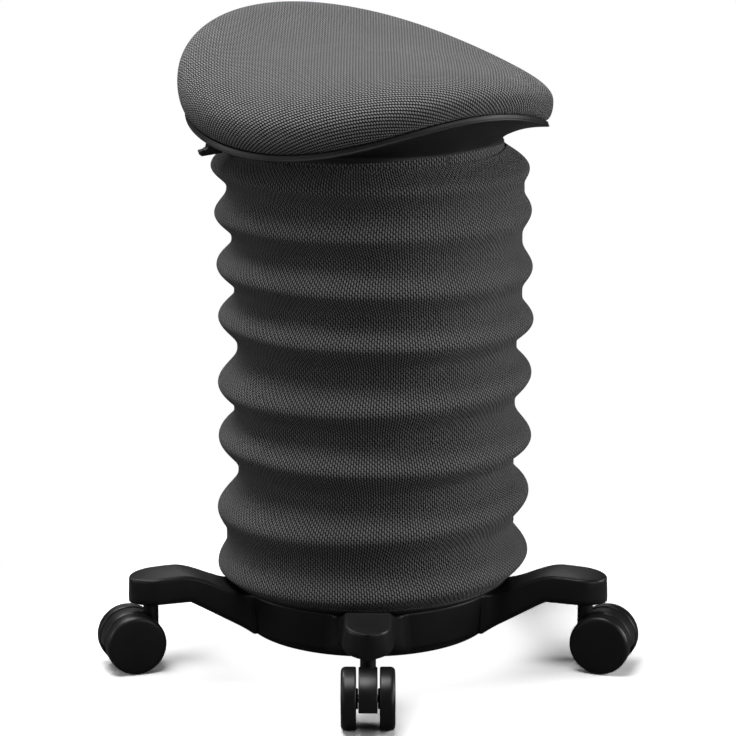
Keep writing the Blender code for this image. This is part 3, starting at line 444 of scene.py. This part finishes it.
boss = [(0.0, boss_half), (0.0090, boss_half), (0.0090, -boss_half), (0.0, -boss_half)]
up = Vector((0, 0, 1))
turned = (0, 0, 126, -126, 0)


def slab(shape, outline, origin, along, aside, width, edge):
    """A flat outline of (along, up) points given a width, with its rims rounded off by edge."""
    near = [shape.verts.new(origin + along * x + Vector((0, 0, z)) - aside * width / 2) for x, z in outline]
    pushed = bmesh.ops.extrude_face_region(shape, geom=[shape.faces.new(near)])["geom"]
    moved = [item for item in pushed if isinstance(item, bmesh.types.BMVert)]
    bmesh.ops.translate(shape, verts=moved, vec=aside * width)
    shape.normal_update()
    rims = [line for line in shape.edges if line.calc_face_angle(0) > math.radians(50)]
    bmesh.ops.bevel(shape, geom=rims, offset=edge, segments=3, profile=0.5, affect="EDGES")


for number, angle in enumerate(arm_angles, 1):
    heading = angle + math.radians(turned[number - 1])
    stem_at = Vector((caster_circle * math.cos(angle), caster_circle * math.sin(angle), 0))
    along = Vector((math.cos(heading), math.sin(heading), 0))
    aside = Vector((-math.sin(heading), math.cos(heading), 0))
    axle = stem_at + along * trail + up * wheel_radius
    shape = bmesh.new()
    slab(shape, hood_outline, stem_at, along, aside, hood_width, hood_edge)
    lathe(shape, neck, 40, lambda x, y, z: stem_at + Vector((x, y, z)))
    lathe(shape, boss, 32, lambda x, y, z: axle + along * x + up * y + aside * z)
    hood = put(f"caster_hood_{number}_visual", shape, wheel_black, 35)
    dress(hood, f"caster_{number}", f"caster_hood_{number}")
    for side, sign in (("left", 1), ("right", -1)):
        shape = bmesh.new()
        lathe(shape, wheel_profile, 96, lambda x, y, t: axle + along * x + up * y + aside * t * sign)
        wheel = put(f"caster_wheel_{number}_{side}_visual", shape, wheel_black, 35)
        dress(wheel, f"wheel_{number}_{side}", f"caster_wheel_{number}_{side}")


# Bellows: a knit sleeve over eight hoops, with a welted hem on the hub and a mouth round the seat's collar.
# The hoops have settled unevenly: each has a height, a tilt up to +X and a shift along +X.
# The knit is of raised, leaning stitches over gaps of painted shade, laid out in metres by the sleeve's UVs.
weave = bpy.data.node_groups.new("open_knit", "ShaderNodeTree")
for name, kind in (("Map", "Vector"), ("Width", "Float"), ("Height", "Float"), ("Lean", "Float"),
                   ("Shift", "Float"), ("Squeeze", "Vector")):
    weave.interface.new_socket(name, in_out="INPUT", socket_type=f"NodeSocket{kind}")
weave.interface.new_socket("Thread", in_out="OUTPUT", socket_type="NodeSocketFloat")
given = add(weave, "NodeGroupInput").outputs
flat = add(weave, "ShaderNodeSeparateXYZ", {0: given["Map"]}).outputs
across = maths(weave, "DIVIDE", flat[0], given["Width"])
down = maths(weave, "DIVIDE", flat[1], given["Height"])
odd_row = maths(weave, "FLOORED_MODULO", maths(weave, "FLOOR", down), 2.0)
rise = maths(weave, "SUBTRACT", maths(weave, "FRACT", down), 0.5)
shifted = maths(weave, "MULTIPLY_ADD", odd_row, given["Shift"], across)
leaning = maths(weave, "MULTIPLY_ADD", rise, given["Lean"], shifted)
beside = maths(weave, "SUBTRACT", maths(weave, "FRACT", leaning), 0.5)
spot = add(weave, "ShaderNodeCombineXYZ", {0: beside, 1: rise}).outputs[0]
drawn = add(weave, "ShaderNodeVectorMath", {0: spot, 1: given["Squeeze"]}, operation="MULTIPLY").outputs[0]
off = add(weave, "ShaderNodeVectorMath", {0: drawn}, operation="LENGTH").outputs["Value"]
add(weave, "NodeGroupOutput", {"Thread": ramp(weave, off, (0.54, 0.26), ease="SMOOTHSTEP")})


def fabric(name, width, height, lean, shift, squeeze, painted_gap_shade, yarn, depth, sheen):
    """A matt knit: gaps painted near black as the shade in its openings, and lighter yarn in relief that
    varies in cloudy patches.
    """
    material = bpy.data.materials.new(name)
    material.use_nodes = True
    tree = material.node_tree
    shader = tree.nodes["Principled BSDF"]
    mapped = add(tree, "ShaderNodeUVMap", uv_map="weave")
    knit = add(tree, "ShaderNodeGroup", node_tree=weave)
    tree.links.new(mapped.outputs[0], knit.inputs["Map"])
    knit.inputs["Width"].default_value = width
    knit.inputs["Height"].default_value = height
    knit.inputs["Lean"].default_value = lean
    knit.inputs["Shift"].default_value = shift
    knit.inputs["Squeeze"].default_value = (*squeeze, 1)
    thread = knit.outputs["Thread"]
    where = add(tree, "ShaderNodeTexCoord").outputs["Object"]
    cloud = add(tree, "ShaderNodeTexNoise", {"Vector": where, "Scale": 14.0, "Detail": 3.0})
    fuzz = add(tree, "ShaderNodeTexNoise", {"Vector": where, "Scale": 700.0, "Detail": 2.0})
    mixed = maths(tree, "MULTIPLY_ADD", cloud.outputs[0], 0.4, fuzz.outputs[0])
    tone = ramp(tree, mixed, (0.4, 1.0), (yarn * 0.8, yarn * 1.2))
    # The gaps take a near-black painted shade that stands in for the depth of the knit's openings.
    shade = add(tree, "ShaderNodeMix", {0: thread, 2: painted_gap_shade, 3: tone}, data_type="FLOAT")
    relief = add(tree, "ShaderNodeBump", {"Height": thread, "Strength": 1.0, "Distance": depth})
    tree.links.new(shade.outputs[0], shader.inputs["Base Color"])
    tree.links.new(relief.outputs[0], shader.inputs["Normal"])
    shader.inputs["Roughness"].default_value = 0.9
    shader.inputs["Specular IOR Level"].default_value = 0.2
    shader.inputs["Sheen Weight"].default_value = sheen
    shader.inputs["Sheen Roughness"].default_value = 0.45
    return material


stitch_width = 0.0050
stitch_height = 0.0028
stitches_round = 372
# The bellows knit's gaps are painted shade, near black.
bellows_knit = fabric("bellows_knit_visual", stitch_width, stitch_height, lean=0.2, shift=0.5,
                      squeeze=(0.85, 1.05), painted_gap_shade=0.004, yarn=0.20, depth=0.0016, sheen=0.1)
welt_knit = plastic("welt_knit", dark=0.010, light=0.016, roughness=0.75, spread=0.05, grain=900.0,
                    depth=0.3)
hem_height = 0.08325
mouth_height = 0.5470
mouth_top = mouth_height - 0.0032
ridge_radius = 0.1655
ridge_crispness = 1.4
cloth_depth = 0.0012
ridges = [
    (0.1000, 0.0065, 0.0050), (0.1640, 0.0095, 0.0052), (0.2335, 0.0, 0.0068),
    (0.2965, 0.0058, 0.0078), (0.3625, -0.0015, 0.0088), (0.4175, -0.0015, 0.0064),
    (0.4750, 0.0015, 0.0050), (0.5225, -0.0015, 0.0022),
]
# Each valley between two ridges has a radius, a height and a shift along +X.
valleys = [
    (0.1525, 0.1320, 0.0015), (0.1460, 0.2015, 0.0080), (0.1485, 0.2660, 0.0068),
    (0.1470, 0.3320, 0.0105), (0.1510, 0.3900, 0.0105), (0.1520, 0.4465, 0.0088),
    (0.1550, 0.5010, 0.0076),
]
welt = [(0.1465, 0.0003), (0.1490, 0.0), (0.1515, 0.0003), (0.1526, 0.0016), (0.1524, 0.0030)]
welt_end = (0.1516, hem_height + 0.0034, 0.0, 0.0)
lip = [(0.1434, 0.0003), (0.1429, 0.0), (0.1425, 0.0006)]
mouth = [(radius, mouth_top - drop, 0.0, 0.0) for radius, drop in lip]
outline = [(radius, hem_height + rise, 0.0, 0.0) for radius, rise in welt]


def span(low, high, curve, steps):
    """Rings from one turning point to the next; curve falls from 1 at low's radius to 0 at high's."""
    for step in range(steps):
        t = step / steps
        ease = curve(t)
        slide = (1 - math.cos(math.pi * t)) / 2
        outline.append((high[0] + (low[0] - high[0]) * ease, low[1] + (high[1] - low[1]) * t,
                        low[2] + (high[2] - low[2]) * slide, low[3] + (high[3] - low[3]) * slide))


turns = []
for i, (height, tilt, drift) in enumerate(ridges):
    if i:
        radius, low_height, low_drift = valleys[i - 1]
        turns.append((radius, low_height, (ridges[i - 1][1] + tilt) / 2, low_drift))
    turns.append((ridge_radius, height, tilt, drift))
span(welt_end, turns[0], lambda t: 1 - math.sin(math.pi * t / 2) ** 1.1, 10)
for low, high in zip(turns, turns[1:]):
    if low[0] > high[0]:
        span(low, high, lambda t: ((1 + math.cos(math.pi * t)) / 2) ** ridge_crispness, 14)
    else:
        span(low, high, lambda t: 1 - ((1 - math.cos(math.pi * t)) / 2) ** ridge_crispness, 14)
span(turns[-1], mouth[0], lambda t: math.cos(math.pi * t / 2) ** 1.3, 14)
lining = [(radius - cloth_depth, *rest) for radius, *rest in reversed(outline[len(welt):])]
outline += mouth
sides = 256


def sleeve_point(radius, height, tilt, drift, angle):
    """A point of the sleeve on its leaning hoop; slack cloth leaves it uneven by under a millimetre."""
    share = min(max((height - hem_height) / (mouth_height - hem_height), 0.0), 1.0)
    loose = math.sin(math.pi * share) ** 0.5
    uneven = 0.0007 * math.sin(3 * angle + 9 * share) + 0.0005 * math.sin(7 * angle - 17 * share + 1.0)
    droop = tilt * math.cos(angle) + 0.0008 * loose * math.sin(2 * angle + 6.0 * share)
    reach = radius + uneven * loose
    return (drift + reach * math.cos(angle), reach * math.sin(angle), height + droop)


shape = bmesh.new()
sleeve_rings = [[sleeve_point(*ring, angle) for angle in full_turn(sides)] for ring in outline + lining]
skin_rings(shape, sleeve_rings, ring_shaped=True)
bellows = put("bellows_cover_visual", shape, bellows_knit, 80)
bellows.data.materials.append(welt_knit)
laid = [0.0]
for low, high in zip(outline, outline[1:]):
    laid.append(laid[-1] + math.hypot(high[0] - low[0], high[1] - low[1]))
uv = bellows.data.uv_layers.new(name="weave")
for polygon in bellows.data.polygons:
    columns = [index % sides for index in polygon.vertices]
    wraps = max(columns) - min(columns) > sides / 2
    if max(polygon.vertices) // sides < len(welt):
        polygon.material_index = 1
    for loop, index, column in zip(polygon.loop_indices, polygon.vertices, columns):
        if wraps and column < sides / 2:
            column += sides
        along_outline = laid[min(index // sides, len(laid) - 1)]
        uv.data[loop].uv = (along_outline, column / sides * stitches_round * stitch_height)
dress(bellows, "base", "bellows_cover")
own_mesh(bellows)


# Rubber mount: a waisted rubber ring bonded to the swivel plate below and the seat frame above.
# It is made in two halves that meet at its waist.
rubber = plastic("mount_rubber", dark=0.012, light=0.02, roughness=0.7, spread=0.08, grain=600.0, depth=0.3)
low, high = (Vector(corner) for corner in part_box("rubber_mount"))
mount_bore = 0.024
mount_outer = (high.x - low.x) / 2 - 0.0005
waist_depth = 0.004
waist_height = (low.z + high.z) / 2
for half, bonded, body in (("lower", low.z, "turntable"), ("upper", high.z, "seat")):
    mount_profile = [(mount_bore, waist_height), (mount_bore, bonded)]
    for share in (0.0, 0.2, 0.4, 0.6, 0.8, 1.0):
        waist = waist_depth * math.sin(math.pi / 2 * share)
        mount_profile.append((mount_outer - waist, bonded + (waist_height - bonded) * share))
    shape = bmesh.new()
    lathe(shape, mount_profile, 96, lambda x, y, z: (x, y, z))
    mount = put(f"rubber_mount_{half}", shape, rubber)
    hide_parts("rubber_mount")
    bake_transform(mount)


# Seat shell: a black plastic moulding, screwed under the seat board.
# A round collar in the bellows' mouth flares into a wavy rim, whose narrow lip holds the cushion's edge.
# The collar is part of a ball about the mount's middle, and a slot in it lets the height lever through.
shell_black = plastic("shell_black_visual", dark=0.012, light=0.018, roughness=0.46, spread=0.05,
                      grain=1400.0, depth=0.10)
lean_height = 0.5365
seat_front = math.radians(-54.6)
collar_radius = 0.1410
collar_heights = (0.5226, 0.5300, 0.5365, 0.5430, 0.5490, 0.5545)
flare_radius = 0.1388
flare_height = 0.5555
shell_wall = 0.0030
ledge_radius = 0.1215
ledge_top = 0.5574
ledge_foot = 0.5546
lip_width = 0.0045
lip_inset = 0.0042
lip_section = (
    (0.0020, 1.0), (0.0008, 0.97), (0.0001, 0.88), (0.0, 0.79), (0.0003, 0.70), (0.0008, 0.60),
    (0.0011, 0.40), (0.0014, 0.20), (0.0017, 0.07), (0.0024, 0.02), (0.0060, 0.05),
)


def waves(terms, angle):
    """A height round the seat, from its mean and its waves, at an angle from the seat's front."""
    return mouth_height + sum(size * math.cos(k * angle) for k, size in enumerate(terms))


def rim_height(angle):
    """Height of the seam between shell and cushion, with a slight twist to one side."""
    twist = 0.0008 * math.sin(angle) + 0.0010 * math.sin(2 * angle) + 0.0008 * math.sin(3 * angle)
    return waves((0.0375, -0.0124, 0.0210, 0.0028, 0.0019), angle) + twist


def seat_radius(angle):
    """Widest plan radius of the seat, a little longer behind."""
    return 0.1945 - 0.0045 * math.cos(angle)


def lip_edge(angle):
    """Radius of the shell's lip, drawn in a little further at the seat's low left side."""
    return seat_radius(angle) - lip_inset - 0.0035 * max(0.0, math.cos(angle + 2.15)) ** 2


def lip_depth(angle):
    """Height of the lip's outer face."""
    return 0.0062 + 0.0009 * math.cos(angle + 0.95)


def seat_point(radius, angle, height):
    """A place at an angle from the seat's front."""
    return (radius * math.cos(angle + seat_front), radius * math.sin(angle + seat_front), height)


def flare(share, angle, lift=0.0):
    """Radius and height of the flare from collar to rim: a cone in front, levelling out elsewhere."""
    bow = 2.0 - 0.7 * max(0.0, math.cos(1.6 * math.remainder(angle, 2 * math.pi)))
    foot = rim_height(angle) - lip_depth(angle)
    radius = flare_radius + (lip_edge(angle) - lip_width - flare_radius) * share
    return radius, flare_height + (foot - flare_height) * (1 - (1 - share) ** bow) + lift


def curve_through(points, steps):
    """A smooth curve through the points."""
    ends = [np.array(point) for point in (points[0], *points, points[-1])]
    made = []
    for before, start, end, after in zip(ends, ends[1:], ends[2:], ends[3:]):
        slope = end - before
        bend = 2 * before - 5 * start + 4 * end - after
        twist = 3 * start - before - 3 * end + after
        for step in range(steps):
            t = step / steps
            made.append(0.5 * (2 * start + slope * t + bend * t ** 2 + twist * t ** 3))
    made.append(ends[-1])
    return made


def shell_column(angle):
    """The shell's section at an angle: up the outside, over the lip, and down the inside."""
    column = [(math.sqrt(collar_radius ** 2 - (z - lean_height) ** 2), z) for z in collar_heights]
    column += [flare(share, angle) for share in (0.14, 0.27, 0.4, 0.55, 0.7, 0.85, 1.0)]
    column = [tuple(point) for point in curve_through(column, 4)]
    edge = lip_edge(angle)
    rim = rim_height(angle)
    column += [(edge - inset, rim - drop * lip_depth(angle)) for inset, drop in lip_section]
    column += [flare(share, angle, shell_wall) for share in (0.92, 0.8, 0.65, 0.5, 0.35, 0.2, 0.08)]
    column += [(0.1372, ledge_top), (ledge_radius, ledge_top), (ledge_radius, ledge_foot)]
    return column + [(0.1370, ledge_foot), (0.1384, 0.5380), (0.1378, collar_heights[0])]


seat_angles = full_turn(180)
columns = [shell_column(angle) for angle in seat_angles]
shell_rings = [[seat_point(r, a, z) for a, (r, z) in zip(seat_angles, ring)] for ring in zip(*columns)]
shape = bmesh.new()
skin_rings(shape, shell_rings, ring_shaped=True)
shell = put("seat_shell_visual", shape, shell_black, 45)
lever_line = math.radians(-163)
outward = Vector((math.cos(lever_line), math.sin(lever_line), 0))
sideways = Vector((-math.sin(lever_line), math.cos(lever_line), 0))
slot_width = 0.018
slot_outline = [(0.1205, 0.5595), (0.1395, 0.5595), (0.1395, 0.5415), (0.1635, 0.5415), (0.1635, 0.5730),
                (0.1205, 0.5730)]
shape = bmesh.new()
slab(shape, slot_outline, Vector(), outward, sideways, slot_width, 0.0001)
combine(shell, [put("lever_slot", shape, shell_black)], "DIFFERENCE", 40)
dress(shell, "seat", "seat_shell")


# Bellows band: the gathered top of the knit cover, which hugs the shell's collar.
# It leans with the seat inside the bellows' mouth, and rises a little towards the seat's front.
band_radius = 0.1416
band_depth = 0.0004
band_foot = 0.5320
band_rise = 0.0058
band_rings = []
for shrink, shares in ((0.0, (0.0, 0.3, 0.6, 0.9, 1.0)), (band_depth, (1.0, 0.5, 0.0))):
    for share in shares:
        ring = []
        for angle in seat_angles:
            top = mouth_height + 0.0003 + band_rise * max(0.0, math.cos(angle - 0.14)) ** 3
            height = band_foot + (top - band_foot) * share
            radius = math.sqrt((band_radius - shrink) ** 2 - (height - lean_height) ** 2)
            ring.append(seat_point(radius, angle, height))
        band_rings.append(ring)
shape = bmesh.new()
skin_rings(shape, band_rings, ring_shaped=True)
band = put("bellows_band", shape, bellows_knit, 50)
uv = band.data.uv_layers.new(name="weave")
for loop in band.data.loops:
    angle = seat_angles[loop.vertex_index % len(seat_angles)]
    uv.data[loop.index].uv = (band.data.vertices[loop.vertex_index].co.z, angle * band_radius)
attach(band, "seat")


# Height lever: a flat bar of the shell's black plastic that steps down out of the shell to a finger paddle.
# It turns on a pin in the seat frame, and its inner end presses the gas column's release pin.
lever_width = 0.012
lever_outline = rounded([
    (0.055, 0.5605, 0.0), (0.1395, 0.5605, 0.003), (0.1555, 0.5515, 0.003), (0.1565, 0.5440, 0.002),
    (0.1788, 0.5415, 0.0006), (0.1805, 0.5465, 0.0006), (0.1755, 0.5476, 0.002), (0.1722, 0.5496, 0.002),
    (0.1710, 0.5555, 0.001), (0.1585, 0.5555, 0.003), (0.1435, 0.5655, 0.004), (0.055, 0.5655, 0.0),
])
shape = bmesh.new()
slab(shape, lever_outline, Vector(), outward, sideways, lever_width, 0.0006)
lever = put("height_lever_visual", shape, shell_black, 35)
dress(lever, "lever", "height_lever")


# Seat cushion: a taut foam saddle in open mesh fabric, on the seat board, tucked in at the shell's rim.
# It starts slightly lean, and a short cloth simulation blows it up, so its cover is stretched over the foam.
# The seat knit's gaps are painted shade, near black.
seat_mesh = fabric("seat_mesh_visual", width=0.0030, height=0.0034, lean=0.6, shift=0.2,
                   squeeze=(1.05, 1.08), painted_gap_shade=0.004, yarn=0.32, depth=0.0016, sheen=0.1)
centre_height = mouth_height + 0.096
roll_width = 0.056
roll_power = 2.2
tuck_depth = 0.0085
tuck_power = 2.2
foam_gap = 0.0045
start_slack = 0.0004
most_swell = 0.0050


def cushion_column(angle):
    """The cushion's section at an angle, from under the shell's rim, up the side and over to the centre."""
    rim = rim_height(angle)
    crest = waves((0.0944, -0.0244, 0.0167, 0.0022), angle)
    widest = seat_radius(angle)
    level = rim + (crest - rim) * 0.42
    bend = (crest - centre_height) / (widest - 0.024) ** 2
    drop = centre_height + bend * widest ** 2 - level
    deep = tuck_depth + widest - lip_inset - lip_edge(angle)
    column = [(0.1435, 0.5858)]
    for radius, share in ((0.165, 0.55), (0.176, 0.78)):
        column.append((radius, flare(share, angle, foam_gap)[1]))
    column.append((widest - deep - 0.0015, rim))
    for share in (1.0, 0.985, 0.94, 0.86, 0.74, 0.60, 0.45, 0.30, 0.15):
        tuck = deep * (1 - (1 - share ** tuck_power) ** (1 / tuck_power))
        column.append((widest - tuck, level - share * (level - rim - 0.0006)))
    for i in range(36):
        radius = widest * (1 - (i / 35) ** 1.6 * 0.96)
        edge = min((widest - radius) / roll_width, 1.0)
        roll = 1 - (1 - (1 - edge) ** roll_power) ** (1 / roll_power)
        column.append((radius, centre_height + bend * radius ** 2 - drop * roll))
    return column


sides = 144
held_rings = 6
cushion_angles = full_turn(sides)
columns = [cushion_column(angle) for angle in cushion_angles]
cushion_rings = [[seat_point(r, a, z) for a, (r, z) in zip(cushion_angles, ring)] for ring in zip(*columns)]
shape = bmesh.new()
skin_rings(shape, cushion_rings)
cushion = put("seat_cushion_visual", shape, seat_mesh, 80)
uv = cushion.data.uv_layers.new(name="weave")
laid = []
for column in columns:
    reach = [column[-1][0]]
    for (r_in, z_in), (r_out, z_out) in zip(column[::-1], column[-2::-1]):
        reach.append(reach[-1] + math.hypot(r_out - r_in, z_out - z_in))
    laid.append(reach[::-1])
for loop in cushion.data.loops:
    line, column = divmod(loop.vertex_index, sides)
    angle = cushion_angles[column] + seat_front
    uv.data[loop.index].uv = (laid[column][line] * math.cos(angle), laid[column][line] * math.sin(angle))
shaped = np.array([vertex.co for vertex in cushion.data.vertices])
normals = np.array([vertex.normal for vertex in cushion.data.vertices])
held = np.arange(len(shaped)) < sides * held_rings
lean = shaped - normals * start_slack * (~held)[:, None]
cushion.data.vertices.foreach_set("co", lean.astype(np.float32).ravel())
seam = cushion.vertex_groups.new(name="seam")
seam.add([int(i) for i in np.flatnonzero(held)], 1.0, "REPLACE")
seam.add([int(i) for i in np.flatnonzero(~held)], 0.2, "REPLACE")
cloth = cushion.modifiers.new("cloth", "CLOTH")
cloth.settings.vertex_group_mass = "seam"
cloth.settings.use_pressure = True
cloth.settings.uniform_pressure_force = 4.0
cloth.settings.tension_stiffness = 40.0
cloth.settings.compression_stiffness = 40.0
cloth.settings.effector_weights.gravity = 0.0
for number in range(1, 21):
    bpy.context.scene.frame_set(number)
blown = cushion.evaluated_get(bpy.context.evaluated_depsgraph_get()).to_mesh()
moved = np.array([vertex.co for vertex in blown.vertices]) - lean
length = np.linalg.norm(moved, axis=1, keepdims=True)
moved *= np.minimum(1.0, most_swell / np.maximum(length, 1e-9))
cushion.modifiers.remove(cloth)
cushion.data.vertices.foreach_set("co", (lean + moved).astype(np.float32).ravel())
cushion.data.update()
bpy.context.scene.frame_set(1)
finer = cushion.modifiers.new("finer", "SUBSURF")
finer.levels = 1
finer.render_levels = 1
dress(cushion, "seat", "seat_cushion")


# Working parts: the gas column, swivel, seat frame, board, screws, pins, caster stems and axles.
# They are of bright or coated steel, moulded plastic and plywood, nearly all of them out of sight.
# They keep the shapes of the solid model, and are given their finishes here.
def metal(name, colour, roughness, metallic):
    """Turned metal with faint machining rings along its height."""
    material = bpy.data.materials.new(name)
    material.use_nodes = True
    tree = material.node_tree
    shader = tree.nodes["Principled BSDF"]
    where = add(tree, "ShaderNodeTexCoord").outputs["Object"]
    stretch = add(tree, "ShaderNodeMapping", {"Vector": where, "Scale": (4.0, 4.0, 700.0)})
    rings = add(tree, "ShaderNodeTexNoise", {"Vector": stretch.outputs[0], "Scale": 3.0, "Detail": 3.0})
    gloss = ramp(tree, rings.outputs[0], (0.0, 1.0), (roughness - 0.08, roughness + 0.1))
    relief = add(tree, "ShaderNodeBump", {"Height": rings.outputs[0], "Strength": 0.08, "Distance": 0.0002})
    tree.links.new(gloss, shader.inputs["Roughness"])
    tree.links.new(relief.outputs[0], shader.inputs["Normal"])
    shader.inputs["Base Color"].default_value = (*colour, 1)
    shader.inputs["Metallic"].default_value = metallic
    return material


finishes = {
    "steel": metal("bright_steel", (0.55, 0.55, 0.56), 0.28, 1.0),
    "black_steel": metal("coated_steel", (0.02, 0.02, 0.021), 0.4, 0.0),
    "bush_white": plastic("bush_plastic", dark=0.62, light=0.72, roughness=0.45, spread=0.05, grain=900.0,
                          depth=0.1),
    "plywood": plastic("board_wood", dark=0.28, light=0.42, roughness=0.6, spread=0.08, grain=200.0,
                       depth=0.4),
    "black_nylon": base_black,
}
for part in frame["record"]["subparts"]:
    node = nodes[part["node"]]
    if part["material_slot"] in finishes and not node.hide_render:
        node.data.materials.clear()
        node.data.materials.append(finishes[part["material_slot"]])

low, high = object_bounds()
